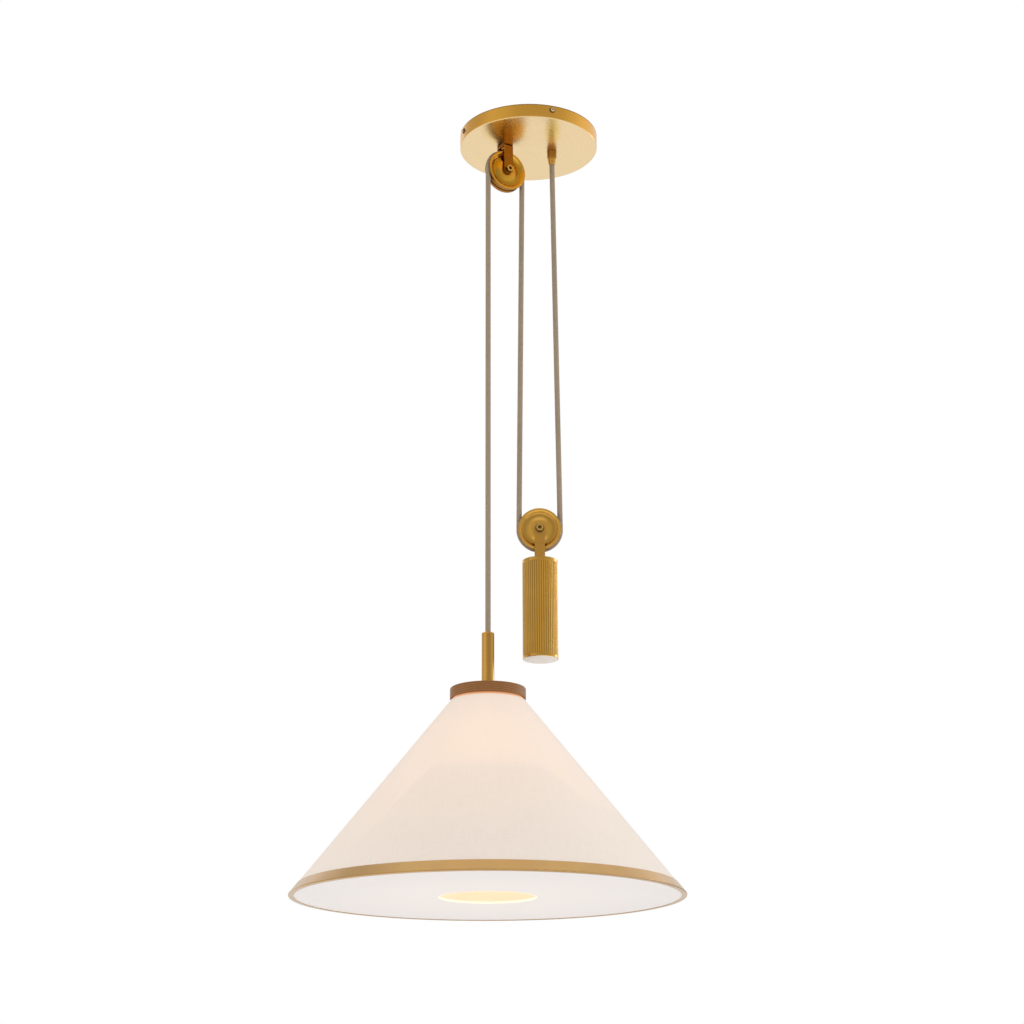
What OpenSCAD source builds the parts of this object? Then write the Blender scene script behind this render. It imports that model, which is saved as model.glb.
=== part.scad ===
// Rise and fall pendant: a shade balanced by a reeded weight on one cord.
// The cord leaves the canopy, passes under the weight's pulley and over the canopy's pulley,
// and carries the shade, so the weight moves half as far as the shade, the other way.
// Origin: centre of the canopy at the ceiling. +Z points up, -Y towards the viewer.

/* [Ceiling canopy] */
// Diameter of the canopy cup
canopy_d = 197; // [180:1:220]
// Height of the canopy cup
canopy_h = 20; // [18:1:30]
// Sheet thickness of the canopy cup
canopy_wall = 1.2; // [0.8:0.1:1.6]
// Distance between the pulley bracket and the cord outlet
outlet_spread = 69; // [66:1:76]
// Turn of the line through both of them about the vertical
outlet_turn = 12; // [6:1:16]
// Turn of the four rim screws about the vertical
rim_screw_turn = 19.5; // [0:0.5:90]
// Height of the rim screws under the ceiling
rim_screw_drop = 7; // [6:0.5:9]
// Distance between the two slots for the ceiling box's screws
box_spacing = 88.9; // [80:0.1:100]
// Width of those slots
box_slot_w = 5.2; // [4.5:0.1:6.5]
// Length of those slots
box_slot_l = 14; // [10:1:18]

/* [Cord] */
// Diameter of the fabric-covered cord
cord_d = 7.3; // [6:0.1:7.5]
// Radius of the cord's centre line round a pulley
cord_path_r = 28.1; // [27:0.1:30]

/* [Pulleys] */
// Diameter of both pulleys over their flanges
pulley_d = 59.2; // [56:0.2:62]
// Width of both pulleys
pulley_w = 15; // [14:0.5:18]
// Depth of the dish in a pulley's face
dish_depth = 3.8; // [2:0.1:4.2]
// Width of the rounded rim outside the dish
rim_w = 1.8; // [1.6:0.1:3]
// Height of the upper pulley's axle under the ceiling
upper_axle_drop = 59; // [58:1:70]
// Height of the lower pulley's axle under the ceiling, as stored
lower_axle_drop = 592.9; // [560:0.1:620]
// Diameter of both axles
axle_d = 6; // [5:0.5:6]

/* [Brackets] */
// Width of the bracket strap
strap_w = 14; // [12:0.5:16]
// Thickness of the bracket strap
strap_t = 2; // [1.5:0.1:2.5]
// Clear gap between the two legs
strap_gap = 17; // [16.5:0.5:20]

/* [Counterweight] */
// Diameter of the counterweight
weight_d = 48; // [44:1:50]
// Length of the counterweight
weight_l = 137.5; // [120:0.5:160]
// Height from the counterweight's top to the axle above it
weight_neck = 43.5; // [41:0.5:50]
// Number of reeds round the counterweight
reeds = 48; // [36:1:60]
// Height of its plain top band
top_band_h = 5; // [4:0.5:8]
// Height of its plain bottom band
base_band_h = 4; // [4:0.5:8]

/* [Stem] */
// Outside diameter of the stem
stem_d = 17; // [16:0.5:20]
// Height of the stem's top under the ceiling, as stored
stem_drop = 744.2; // [740:0.1:760]
// Length of the stem, its cap included
stem_l = 76; // [60:0.1:90]

/* [Shade] */
// Diameter of the shade over its brass band
shade_d = 508; // [480:1:540]
// Height from the shade's mouth to the lower edge of the wooden cap
shade_h = 258.9; // [240:0.1:280]
// Diameter of the cone where it meets the wooden cap
shade_top_d = 93; // [90:0.5:94]
// Thickness of the fabric and its stiff backing
fabric_t = 0.8; // [0.6:0.1:1.2]
// Diameter of the wooden cap
cap_d = 100; // [99:0.5:110]
// Height of the wooden cap
cap_h = 13.9; // [12:0.1:16]
// Height of the brass band round the shade's mouth
band_h = 13.5; // [10:0.5:16]
// Sheet thickness of the brass band
band_t = 0.6; // [0.5:0.1:1]
// Diameter of the hole in the diffuser
diffuser_hole_d = 124; // [100:1:150]
// Thickness of the diffuser
diffuser_t = 2.5; // [2:0.1:4]

/* [Hidden] */
$fn = 96;

// Finishes
brass = [0.69, 0.51, 0.22];
steel = [0.62, 0.62, 0.63];
fabric_cord = [0.60, 0.53, 0.44];
timber = [0.66, 0.48, 0.31];
linen = [0.95, 0.90, 0.84];
opal = [0.95, 0.92, 0.90];
phenolic = [0.12, 0.11, 0.10];
nylon = [0.88, 0.87, 0.83];

tiny = 0.05;                      // running and sliding clearance on a radius
cord_r = cord_d / 2;
cord_bore_r = cord_r + tiny;
thread_r = 5;                     // M10 fine, the usual lamp thread
thread_nut_af = 14;
m4_r = 2;
m6_r = 3;

// Canopy
canopy_r = canopy_d / 2;
canopy_z = -canopy_h;
canopy_edge_r = 1.6;
ceiling_plate_t = 1.5;
ceiling_plate_r = canopy_r - canopy_wall - 3;
tab_w = 16;
tab_h = 11.5;
tab_foot_l = 8;
tab_t = 2;
tab_x = ceiling_plate_r - tab_t - 0.4;
rim_screw_head_r = 3.1;
rim_screw_head_h = 2.2;
rim_washer_r = 4.4;
rim_washer_t = 0.8;
rim_screw_l = 9;
outlet_x = outlet_spread / 2 * cos(outlet_turn);
outlet_y = outlet_spread / 2 * sin(outlet_turn);
ground_place = [-30, 32, -ceiling_plate_t];
block_size = [30, 17, 11];
block_pitch = 10;
core_entry_h = 4;                 // height of the block's ways over its lower face
screw_reach = 4.5;
block_place = [outlet_x, outlet_y + 38, -ceiling_plate_t - block_size.z];
core_r = 1;                       // one of the cord's three conductors
core_start_z = canopy_z + 9.5;
core_steps = 10;
core_sides = 8;

// Upper pulley: turned so that the cord on its far side falls in the weight's plane y = outlet_y
upper_place = [-outlet_x, -outlet_y, -upper_axle_drop];
upper_turn = asin(2 * outlet_y / cord_path_r);
reach_x = cord_path_r * cos(upper_turn);
shade_x = -outlet_x - reach_x;
shade_y = -outlet_y - cord_path_r * sin(upper_turn);
middle_x = -outlet_x + reach_x;

// Cord outlet
outlet_r = 6.8;
outlet_tip_r = 4.75;
outlet_collar_h = 9.5;
outlet_l = 21;
outlet_end_z = canopy_z - outlet_l;

// Lower pulley: it hangs midway between the outlet and the cord's fall from the upper pulley
lower_place = [(outlet_x + middle_x) / 2, outlet_y, -lower_axle_drop];

// A straight stretch of cord from a point above to its touch on the lower pulley
function span_x(x) = abs(x - lower_place.x);
function span_z(z) = z - lower_place.z;
function lean(x, z) = asin(cord_path_r / norm([span_x(x), span_z(z)])) - atan(span_x(x) / span_z(z));
function stretch(x, z) = sqrt(pow(norm([span_x(x), span_z(z)]), 2) - pow(cord_path_r, 2));
feed_lean = lean(outlet_x, outlet_end_z);
feed_l = stretch(outlet_x, outlet_end_z);
middle_lean = lean(middle_x, upper_place.z);
middle_l = stretch(middle_x, upper_place.z);

// Pulley section
pulley_r = pulley_d / 2;
pulley_half = pulley_w / 2;
groove_r = cord_r + 0.3;
groove_lip = 0.9;                 // how much the groove widens from the cord's centre line to the rim
bush_r = 5;
hub_r = 10;
hub_relief = 0.5;
rim_crest_r = pulley_r - rim_w;
rim_round = 1.5;
trough_place = 0.62;              // where the dish is deepest, from the hub's edge to the rim's crest

// Bracket and axle stack, measured from the middle of the pulley
leg_in = strap_gap / 2;
leg_out = leg_in + strap_t;
strap_bend_r = 2.2;
axle_r = axle_d / 2;
washer_t = 1.1;
washer_r = 6;
axle_head_af = 9.5;
axle_head_h = 3.4;
axle_hole_r = 2.1;
axle_hole_depth = 2.7;
axle_nut_af = 10;
axle_nut_h = 4.6;
bracket_screw_r = m6_r;
bracket_screw_head_r = 5.4;
bracket_screw_head_h = 2.6;
upper_screw_l = 13;
weight_screw_l = 30;
spacer_t = 0.7;
spacer_r = 5.5;

// Counterweight
weight_r = weight_d / 2;
weight_top_z = lower_place.z - weight_neck;
weight_base_z = weight_top_z - weight_l;
weight_bore_r = weight_r - 2.6;
reed_r = 1.5;
reed_valley_r = weight_r - 0.9;
spigot_h = 6;
base_pad_r = weight_r - 1.2;
base_pad_t = 1.4;
base_pad_proud = 0.4;

// Stem
stem_r = stem_d / 2;
stem_bore_r = stem_r - 1.2;
stem_top_z = -stem_drop;
stem_base_z = stem_top_z - stem_l;
stem_cap_h = 3.6;
stem_floor_h = 9;
clamp_z = stem_base_z + 24;
clamp_h = 16;
clamp_screw_r = 1;
clamp_screw_l = 7;
clamp_screw_back = cord_r + 1.4;

// Shade
cap_r = cap_d / 2;
cap_base_z = stem_base_z - cap_h;
cap_top_t = 5;
cap_recess_r = cap_r - 2.4;
cap_recess_h = cap_h - cap_top_t;
cap_round = 1.4;
recess_z = stem_base_z - cap_top_t;
mouth_z = cap_base_z - shade_h;
band_r = shade_d / 2;
cone_slope = (band_r - shade_top_d / 2) / shade_h;
cone_angle = atan(cone_slope);
bead_r = 1.1;
bead_at = [band_r - bead_r, mouth_z + bead_r];
// Radius of the fabric's outer face: it lies against the inside of the brass band
function cone_outer(z) = bead_at.x + (bead_r - band_t - tiny) / cos(cone_angle) - cone_slope * (z - bead_at.y);
fabric_run = fabric_t / cos(cone_angle);
wire_r = 1.5;
bottom_wire_r = 1.5;
cone_top_z = recess_z - 1.2;
carrier_t = 1.5;
nipple_washer_t = 1.2;
carrier_ring_z = recess_z - carrier_t - 0.9;
carrier_ring_r = cone_outer(carrier_ring_z) - fabric_run - wire_r / cos(cone_angle) - 0.2;
carrier_hub_r = 14;
carrier_arm_w = 9;
band_lip_w = 7;
cone_base_z = mouth_z + 2 * bead_r + 0.1;
diffuser_z = mouth_z + band_t;
diffuser_r = cone_outer(diffuser_z + diffuser_t) - fabric_run - 0.6;
bottom_wire_z = diffuser_z + diffuser_t + bottom_wire_r;
bottom_ring_r = cone_outer(bottom_wire_z) - fabric_run - bottom_wire_r / cos(cone_angle) - 0.1;

// Lampholder and lamp
nut_top_z = recess_z - carrier_t - nipple_washer_t;
nipple_nut_h = 4;
holder_top_z = nut_top_z - nipple_nut_h - 4;
holder_cap_h = 17;
holder_r = 20;
holder_h = 40;
holder_wall = 2.4;
holder_floor_z = holder_top_z - holder_cap_h;
nipple_end_z = holder_top_z - 6;
holder_mouth_z = holder_floor_z - holder_h;
lamp_base_r = 13;
shell_r = 13.9;
bulb_r = 30;
bulb_l = 80;
lamp_contact_z = holder_floor_z - 8;
bulb_top_z = lamp_contact_z - 26;

// ---------- helpers ----------

// Points of an arc, from one angle to another
function arc(centre, r, from, to, steps = 8) =
    [for (i = [0 : steps]) let (a = from + (to - from) * i / steps) centre + r * [cos(a), sin(a)]];

// Turns a piece built round +Z onto an axle, its front towards the viewer
module on_axle(place, turn = 0) {
    translate(place) rotate([90, 0, turn]) children();
}

// A disc or ring round +Z, from z0 up by h
module ring(r, h, z0 = 0, bore = 0) {
    difference() {
        translate([0, 0, z0]) cylinder(r = r, h = h);
        if (bore > 0) translate([0, 0, z0 - 1]) cylinder(r = bore, h = h + 2);
    }
}

// A hexagonal nut round +Z with chamfered corners
module hex_nut(af, h, bore) {
    corner_r = af / 2 / cos(30);
    chamfer = 0.8;
    difference() {
        intersection() {
            cylinder(r = corner_r, h = h, $fn = 6);
            rotate_extrude()
                polygon([[0, 0], [corner_r - chamfer, 0], [corner_r, chamfer], [corner_r, h - chamfer],
                         [corner_r - chamfer, h], [0, h]]);
        }
        translate([0, 0, -1]) cylinder(r = bore, h = h + 2);
    }
}

// A low domed head with a hexagonal socket, its seat at z = 0
module socket_head(r, h, socket_af) {
    difference() {
        rotate_extrude()
            polygon(concat([[0, 0], [r - 0.3, 0]], arc([r - 1.6, h - 1.8], 1.6, -15, 60, 6),
                           [[socket_af / 2 + 0.9, h], [0, h]]));
        translate([0, 0, h - 2]) cylinder(r = socket_af / 2 / cos(30), h = 3, $fn = 6);
    }
}

// ---------- canopy ----------

// A stadium-shaped slot along X
module slot(length, width, depth) {
    reach = (length - width) / 2;
    for (x = [-reach, reach]) translate([x, 0, 0]) cylinder(d = width, h = depth);
    translate([-reach, -width / 2, 0]) cube([2 * reach, width, depth]);
}

module on_rim_screws() {
    for (i = [0 : 3]) rotate([0, 0, rim_screw_turn - 90 + 90 * i]) children();
}

module mounting_plate() {
    wire_hole_r = 13;
    color(steel) difference() {
        translate([0, 0, -ceiling_plate_t]) cylinder(r = ceiling_plate_r, h = ceiling_plate_t);
        translate([0, 0, -ceiling_plate_t - 1]) {
            cylinder(r = wire_hole_r, h = ceiling_plate_t + 2);
            for (side = [-1, 1])
                translate([side * box_spacing / 2, 0, 0]) slot(box_slot_l, box_slot_w, ceiling_plate_t + 2);
        }
    }
}

// Bent tabs welded under the plate's edge, which the canopy's rim screws go into
module mounting_tabs() {
    bend_r = 3;
    inner_r = bend_r - tab_t;
    color(steel) on_rim_screws() translate([tab_x + tab_t, 0, -ceiling_plate_t]) difference() {
        rotate([90, 0, 0]) translate([0, 0, -tab_w / 2]) linear_extrude(tab_w)
            polygon(concat(
                [[0, -tab_h]], arc([-bend_r, -bend_r], bend_r, 0, 90, 6), [[-tab_foot_l - tab_t, 0]],
                [[-tab_foot_l - tab_t, -tab_t]], arc([-bend_r, -bend_r], inner_r, 90, 0, 4), [[-tab_t, -tab_h]]));
        translate([-tab_t - 1, 0, ceiling_plate_t - rim_screw_drop]) rotate([0, 90, 0])
            cylinder(r = m4_r + tiny, h = tab_t + 2);
    }
}

module ground_screw() {
    washer_h = 1;
    head_h = 2.6;
    stud_h = 3;
    color(brass) translate(ground_place) {
        translate([0, 0, -stud_h]) cylinder(r = m4_r, h = stud_h);
        translate([0, 0, -stud_h - washer_h]) cylinder(r = 4, h = washer_h);
        translate([0, 0, -stud_h - washer_h - head_h]) difference() {
            cylinder(r = 3.5, h = head_h);
            translate([-4, -0.5, -1]) cube([8, 1, 2]);
        }
    }
}

// The three ways of the block
module on_ways() {
    for (way = [-1, 0, 1]) translate(block_place + [way * block_pitch, 0, 0]) children();
}

module terminal_block() {
    entry_r = 1.6;
    well_r = 2.4;
    barrel_w = 7.2;
    step_h = 4;
    color(nylon) difference() {
        union() {
            translate(block_place + [-block_size.x / 2, -block_size.y / 2, step_h])
                cube(block_size - [0, 0, step_h]);
            on_ways() translate([-barrel_w / 2, -block_size.y / 2, 0])
                cube([barrel_w, block_size.y, block_size.z]);
        }
        on_ways() {
            translate([0, -block_size.y, core_entry_h]) rotate([-90, 0, 0])
                cylinder(r = entry_r, h = 2 * block_size.y);
            for (side = [-1, 1]) translate([0, side * screw_reach, -1]) cylinder(r = well_r, h = 3.2);
        }
    }
}

module terminal_screws() {
    color(brass) on_ways()
        for (side = [-1, 1]) translate([0, side * screw_reach, 0.6]) difference() {
            cylinder(r = 1.9, h = 1.6);
            translate([-3, -0.3, -1]) cube([6, 0.6, 1.5]);
        }
}

// Conductors run from the end of the cord's sheath to the block
function bezier(p, t) =
    pow(1 - t, 3) * p[0] + 3 * t * pow(1 - t, 2) * p[1] + 3 * t * t * (1 - t) * p[2] + pow(t, 3) * p[3];
function bezier_slope(p, t) =
    3 * pow(1 - t, 2) * (p[1] - p[0]) + 6 * t * (1 - t) * (p[2] - p[1]) + 3 * t * t * (p[3] - p[2]);
function unit(v) = v / norm(v);

module core(way) {
    start = [outlet_x + way * 2.1, outlet_y, core_start_z];
    finish = block_place + [way * block_pitch, -block_size.y / 2 + 3, core_entry_h];
    p = [start, start + [0, 0, 5], finish - [0, 18, 0], finish];
    side = [1, 0, 0];
    points = [
        for (i = [0 : core_steps])
            let (t = i / core_steps, along = unit(bezier_slope(p, t)),
                 across = unit(side - (side * along) * along), up = cross(along, across))
                for (k = [0 : core_sides - 1])
                    bezier(p, t) + core_r * (cos(360 * k / core_sides) * across
                                             + sin(360 * k / core_sides) * up)
    ];
    last = core_steps * core_sides;
    faces = concat(
        [[for (k = [core_sides - 1 : -1 : 0]) k]],
        [[for (k = [0 : core_sides - 1]) last + k]],
        [for (i = [0 : core_steps - 1], k = [0 : core_sides - 1])
            let (a = i * core_sides + k, b = i * core_sides + (k + 1) % core_sides)
                [a, b, b + core_sides, a + core_sides]]);
    polyhedron(points, [for (f = faces) [for (k = [len(f) - 1 : -1 : 0]) f[k]]]);
}

module cord_cores() {
    color("sienna") for (way = [-1, 0, 1]) core(way);
}

module canopy_cup() {
    inner_r = canopy_r - canopy_wall;
    floor_z = canopy_z + canopy_wall;
    color(brass) difference() {
        rotate_extrude($fn = 180)
            polygon(concat(
                [[0, canopy_z]],
                arc([canopy_r - canopy_edge_r, canopy_z + canopy_edge_r], canopy_edge_r, -90, 0),
                [[canopy_r, 0], [inner_r, 0], [inner_r, floor_z + 0.4], [inner_r - 0.4, floor_z], [0, floor_z]]));
        translate([outlet_x, outlet_y, canopy_z - 1]) cylinder(r = thread_r + tiny, h = canopy_wall + 2);
        translate([-outlet_x, -outlet_y, canopy_z - 1])
            cylinder(r = bracket_screw_r + tiny, h = canopy_wall + 2);
        on_rim_screws()
            translate([canopy_r - 4, 0, -rim_screw_drop]) rotate([0, 90, 0]) cylinder(r = m4_r + tiny, h = 8);
    }
}

module canopy_rim_screws() {
    color(brass) on_rim_screws() translate([canopy_r, 0, -rim_screw_drop]) rotate([0, 90, 0]) {
        cylinder(r1 = rim_washer_r, r2 = rim_washer_r - 0.3, h = rim_washer_t);
        translate([0, 0, rim_washer_t - 0.1]) socket_head(rim_screw_head_r, rim_screw_head_h, 2);
        translate([0, 0, -rim_screw_l]) cylinder(r = m4_r, h = rim_screw_l + 0.2);
    }
}

module cord_outlet() {
    nose_z = canopy_z - outlet_collar_h;
    color(brass) translate([outlet_x, outlet_y, 0]) difference() {
        union() {
            rotate_extrude()
                polygon(concat(
                    [[0, canopy_z], [outlet_r, canopy_z], [outlet_r, nose_z + 0.5], [outlet_r - 0.5, nose_z]],
                    arc([outlet_tip_r - 0.8, outlet_end_z + 0.8], 0.8, 10, -90, 5),
                    [[0, outlet_end_z]]));
            translate([0, 0, canopy_z]) cylinder(r = thread_r, h = 9);
        }
        translate([0, 0, outlet_end_z - 1]) cylinder(r = cord_bore_r, h = outlet_l + 12);
    }
}

module cord_outlet_nut() {
    color(steel) translate([outlet_x, outlet_y, canopy_z + canopy_wall]) hex_nut(thread_nut_af, 3.5, thread_r);
}

module cord_canopy_end() {
    color(fabric_cord) translate([outlet_x, outlet_y, outlet_end_z])
        cylinder(r = cord_r, h = core_start_z - outlet_end_z);
}

// ---------- brackets, axles and pulleys ----------

// Side view of the bent strap: two legs and a bridge at height top, with rounded bends
module strap_bend_2d(top, foot) {
    inner_bend = strap_bend_r - strap_t;
    polygon(concat(
        [[leg_out, foot]],
        arc([leg_out - strap_bend_r, top - strap_bend_r], strap_bend_r, 0, 90, 6),
        arc([-leg_out + strap_bend_r, top - strap_bend_r], strap_bend_r, 90, 180, 6),
        [[-leg_out, foot], [-leg_in, foot]],
        arc([-leg_in + inner_bend, top - strap_t - inner_bend], inner_bend, 180, 90, 4),
        arc([leg_in - inner_bend, top - strap_t - inner_bend], inner_bend, 90, 0, 4),
        [[leg_in, foot]]));
}

// A U bracket round an axle along Z, its bridge at height top on +Y
module bracket(top) {
    end_r = strap_w / 2;
    difference() {
        intersection() {
            rotate([0, 90, 0]) translate([0, 0, -end_r]) linear_extrude(strap_w) strap_bend_2d(top, -end_r);
            translate([0, 0, -leg_out - 1]) linear_extrude(2 * leg_out + 2) {
                circle(r = end_r);
                translate([-end_r, 0]) square([strap_w, top + 1]);
            }
        }
        translate([0, 0, -leg_out - 1]) cylinder(r = axle_r + tiny, h = 2 * leg_out + 2);
        translate([0, top - strap_t - 1, 0]) rotate([-90, 0, 0])
            cylinder(r = bracket_screw_r + tiny, h = strap_t + 2);
    }
}

// Points of half a wave from one point to another, level at both; the first point is left out
function wave(from, to, steps) =
    [for (i = [1 : steps])
        let (t = i / steps) [from.x + (to.x - from.x) * t, from.y + (to.y - from.y) * (1 - cos(180 * t)) / 2]];

// Grooved disc with a dish in both faces
module pulley() {
    trough = [hub_r + (rim_crest_r - hub_r) * trough_place, pulley_half - dish_depth];
    face = concat(
        [[bush_r, pulley_half - hub_relief], [hub_r, pulley_half - hub_relief]],
        wave([hub_r, pulley_half - hub_relief], trough, 10),
        wave(trough, [rim_crest_r, pulley_half], 9),
        arc([pulley_r - rim_round, pulley_half - rim_round], rim_round, 80, 0, 5));
    groove = concat(
        [[pulley_r, groove_r + groove_lip]],
        arc([cord_path_r, 0], groove_r, 90, 270, 20),
        [[pulley_r, -groove_r - groove_lip]]);
    back = [for (i = [len(face) - 1 : -1 : 0]) [face[i].x, -face[i].y]];
    rotate_extrude($fn = 144) polygon(concat(face, groove, back));
}

// The bush that carries a pulley on its axle
module bush() {
    ring(bush_r, pulley_w, -pulley_half, axle_r + tiny);
}

// Screw through both legs, its head to the front with a hole in it, and its end in a nut behind
module axle() {
    head_z = leg_out + washer_t;
    tail_z = -leg_out - washer_t - axle_nut_h;
    translate([0, 0, head_z]) hex_nut(axle_head_af, axle_head_h, axle_hole_r);
    translate([0, 0, tail_z]) cylinder(r = axle_r, h = head_z - tail_z + axle_head_h - axle_hole_depth);
}

module axle_washers() {
    ring(washer_r, washer_t, leg_out, axle_r + tiny);
    ring(washer_r, washer_t, -leg_out - washer_t, axle_r + tiny);
}

// Cap nut with a domed end
module axle_nut() {
    seat_z = -leg_out - washer_t;
    dome_r = 4.4;
    dome_h = 3;
    translate([0, 0, seat_z - axle_nut_h]) hex_nut(axle_nut_af, axle_nut_h, axle_r);
    translate([0, 0, seat_z - axle_nut_h - dome_h]) rotate_extrude()
        polygon(concat([[0, dome_h], [0, 0]], arc([dome_r - dome_h, dome_h], dome_h, -90, 0)));
}

module spacers() {
    ring(spacer_r, spacer_t, leg_in - spacer_t, axle_r + tiny);
    ring(spacer_r, spacer_t, -leg_in, axle_r + tiny);
}

// Cord lying in a groove, from one angle round by another
module cord_wrap(from, sweep) {
    rotate([0, 0, from]) rotate_extrude(angle = sweep) translate([cord_path_r, 0]) circle(r = cord_r, $fn = 32);
}

module at_upper() {
    on_axle(upper_place, upper_turn) children();
}

module at_lower() {
    on_axle(lower_place) children();
}

module upper_bracket() {
    color(brass) at_upper() bracket(upper_axle_drop - canopy_h);
}

module upper_bracket_screw() {
    color(brass) translate([-outlet_x, -outlet_y, canopy_z - strap_t]) {
        mirror([0, 0, 1]) socket_head(bracket_screw_head_r, bracket_screw_head_h, 4);
        translate([0, 0, -0.3]) cylinder(r = bracket_screw_r, h = upper_screw_l + 0.3);
    }
}

module upper_bracket_nut() {
    washer_h = 1.5;
    color(steel) translate([-outlet_x, -outlet_y, canopy_z + canopy_wall]) {
        ring(9, washer_h, 0, bracket_screw_r + tiny);
        translate([0, 0, washer_h]) hex_nut(axle_nut_af, 5, bracket_screw_r);
    }
}

module upper_axle() {
    color(brass) at_upper() axle();
}

module upper_axle_washers() {
    color(brass) at_upper() axle_washers();
}

module upper_axle_nut() {
    color(brass) at_upper() axle_nut();
}

module upper_spacers() {
    color(nylon) at_upper() spacers();
}

module upper_pulley() {
    color(brass) at_upper() pulley();
}

module upper_pulley_bush() {
    color(nylon) at_upper() bush();
}

module cord_over_pulley() {
    color(fabric_cord) at_upper() cord_wrap(0, 180);
}

// ---------- straight stretches of cord ----------

// side is +1 on the lower pulley's right and -1 on its left
module cord_stretch(side, length, tilt) {
    touch = lower_place + cord_path_r * [side * cos(tilt), 0, sin(tilt)];
    color(fabric_cord) translate(touch) rotate([0, -side * tilt, 0]) cylinder(r = cord_r, h = length);
}

module cord_feed() {
    cord_stretch(1, feed_l, feed_lean);
}

module cord_middle() {
    cord_stretch(-1, middle_l, middle_lean);
}

module cord_drop() {
    color(fabric_cord) translate([shade_x, shade_y, stem_top_z])
        cylinder(r = cord_r, h = upper_place.z - stem_top_z);
}

module cord_under_pulley() {
    color(fabric_cord) at_lower() cord_wrap(180 - middle_lean, 180 + middle_lean + feed_lean);
}

// ---------- counterweight ----------

module at_weight(z = 0) {
    translate([lower_place.x, lower_place.y, z]) children();
}

module weight_bracket() {
    color(brass) at_lower() mirror([0, 1, 0]) bracket(weight_neck);
}

module weight_bracket_screw() {
    color(brass) at_weight(weight_top_z + strap_t) {
        socket_head(bracket_screw_head_r, bracket_screw_head_h, 4);
        translate([0, 0, -weight_screw_l]) cylinder(r = bracket_screw_r, h = weight_screw_l + 0.3);
    }
}

module lower_axle() {
    color(brass) at_lower() axle();
}

module lower_axle_washers() {
    color(brass) at_lower() axle_washers();
}

module lower_axle_nut() {
    color(brass) at_lower() axle_nut();
}

module lower_spacers() {
    color(nylon) at_lower() spacers();
}

module lower_pulley() {
    color(brass) at_lower() pulley();
}

module lower_pulley_bush() {
    color(nylon) at_lower() bush();
}

// Plain end of the counterweight: a turned disc with a spigot inside the sleeve
module end_cap_profile(h, edge) {
    polygon([[0, 0], [weight_r - edge, 0], [weight_r, edge], [weight_r, h - 0.4], [weight_r - 0.4, h],
             [weight_bore_r, h], [weight_bore_r, h + spigot_h], [0, h + spigot_h]]);
}

module weight_top_cap() {
    color(brass) at_weight(weight_top_z) difference() {
        mirror([0, 0, 1]) rotate_extrude() end_cap_profile(top_band_h, 0.6);
        translate([0, 0, -top_band_h - spigot_h - 1])
            cylinder(r = bracket_screw_r + tiny, h = top_band_h + spigot_h + 2);
    }
}

module weight_sleeve() {
    sleeve_l = weight_l - top_band_h - base_band_h;
    color(brass) at_weight(weight_base_z + base_band_h) linear_extrude(sleeve_l) difference() {
        union() {
            circle(r = reed_valley_r);
            for (i = [0 : reeds - 1])
                rotate(360 * i / reeds) translate([weight_r - 0.15 - reed_r, 0]) circle(r = reed_r, $fn = 24);
        }
        circle(r = weight_bore_r);
    }
}

module weight_core() {
    core_l = weight_l - top_band_h - base_band_h - 2 * spigot_h;
    thread_depth = weight_screw_l - strap_t - top_band_h - spigot_h + 3;
    color(steel) at_weight(weight_base_z + base_band_h + spigot_h) difference() {
        cylinder(r = weight_bore_r - 0.1, h = core_l);
        translate([0, 0, core_l - thread_depth]) cylinder(r = bracket_screw_r, h = thread_depth + 1);
    }
}

module weight_base_cap() {
    color(brass) at_weight(weight_base_z) difference() {
        rotate_extrude() end_cap_profile(base_band_h, 0.5);
        translate([0, 0, -1]) cylinder(r = base_pad_r + tiny, h = base_pad_t - base_pad_proud + 1);
    }
}

// Pale pad let into the counterweight's foot
module weight_base_pad() {
    color(opal) at_weight(weight_base_z - base_pad_proud) rotate_extrude()
        polygon([[0, 0], [base_pad_r - 0.4, 0], [base_pad_r, 0.4], [base_pad_r, base_pad_t], [0, base_pad_t]]);
}

// ---------- stem ----------

module at_shade(z = 0) {
    translate([shade_x, shade_y, z]) children();
}

module cord_stem_end() {
    color(fabric_cord) at_shade(nipple_end_z) cylinder(r = cord_r, h = stem_top_z - nipple_end_z);
}

module stem_cap() {
    plug_h = 7;
    color(brass) at_shade(stem_top_z) difference() {
        rotate_extrude()
            polygon([[0, -stem_cap_h - plug_h], [stem_bore_r, -stem_cap_h - plug_h], [stem_bore_r, -stem_cap_h],
                     [stem_r - 0.3, -stem_cap_h], [stem_r, -stem_cap_h + 0.3], [stem_r, -1.3], [stem_r - 1.3, 0],
                     [0, 0]]);
        translate([0, 0, -stem_cap_h - plug_h - 1]) cylinder(r = cord_bore_r, h = stem_cap_h + plug_h + 2);
    }
}

module stem_tube() {
    tube_l = stem_l - stem_cap_h;
    color(brass) at_shade(stem_base_z) difference() {
        rotate_extrude()
            polygon([[0, 0], [stem_r, 0], [stem_r, tube_l - 0.3], [stem_r - 0.3, tube_l], [0, tube_l]]);
        translate([0, 0, stem_floor_h]) cylinder(r = stem_bore_r, h = tube_l);
        translate([0, 0, -1]) cylinder(r = thread_r, h = stem_floor_h + 2);
    }
}

// The two screws that close the clamp run across it, behind the cord
module on_clamp_screws() {
    for (z = [4, 12]) translate([0, clamp_screw_back, z]) rotate([0, 90, 0]) children();
}

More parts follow.
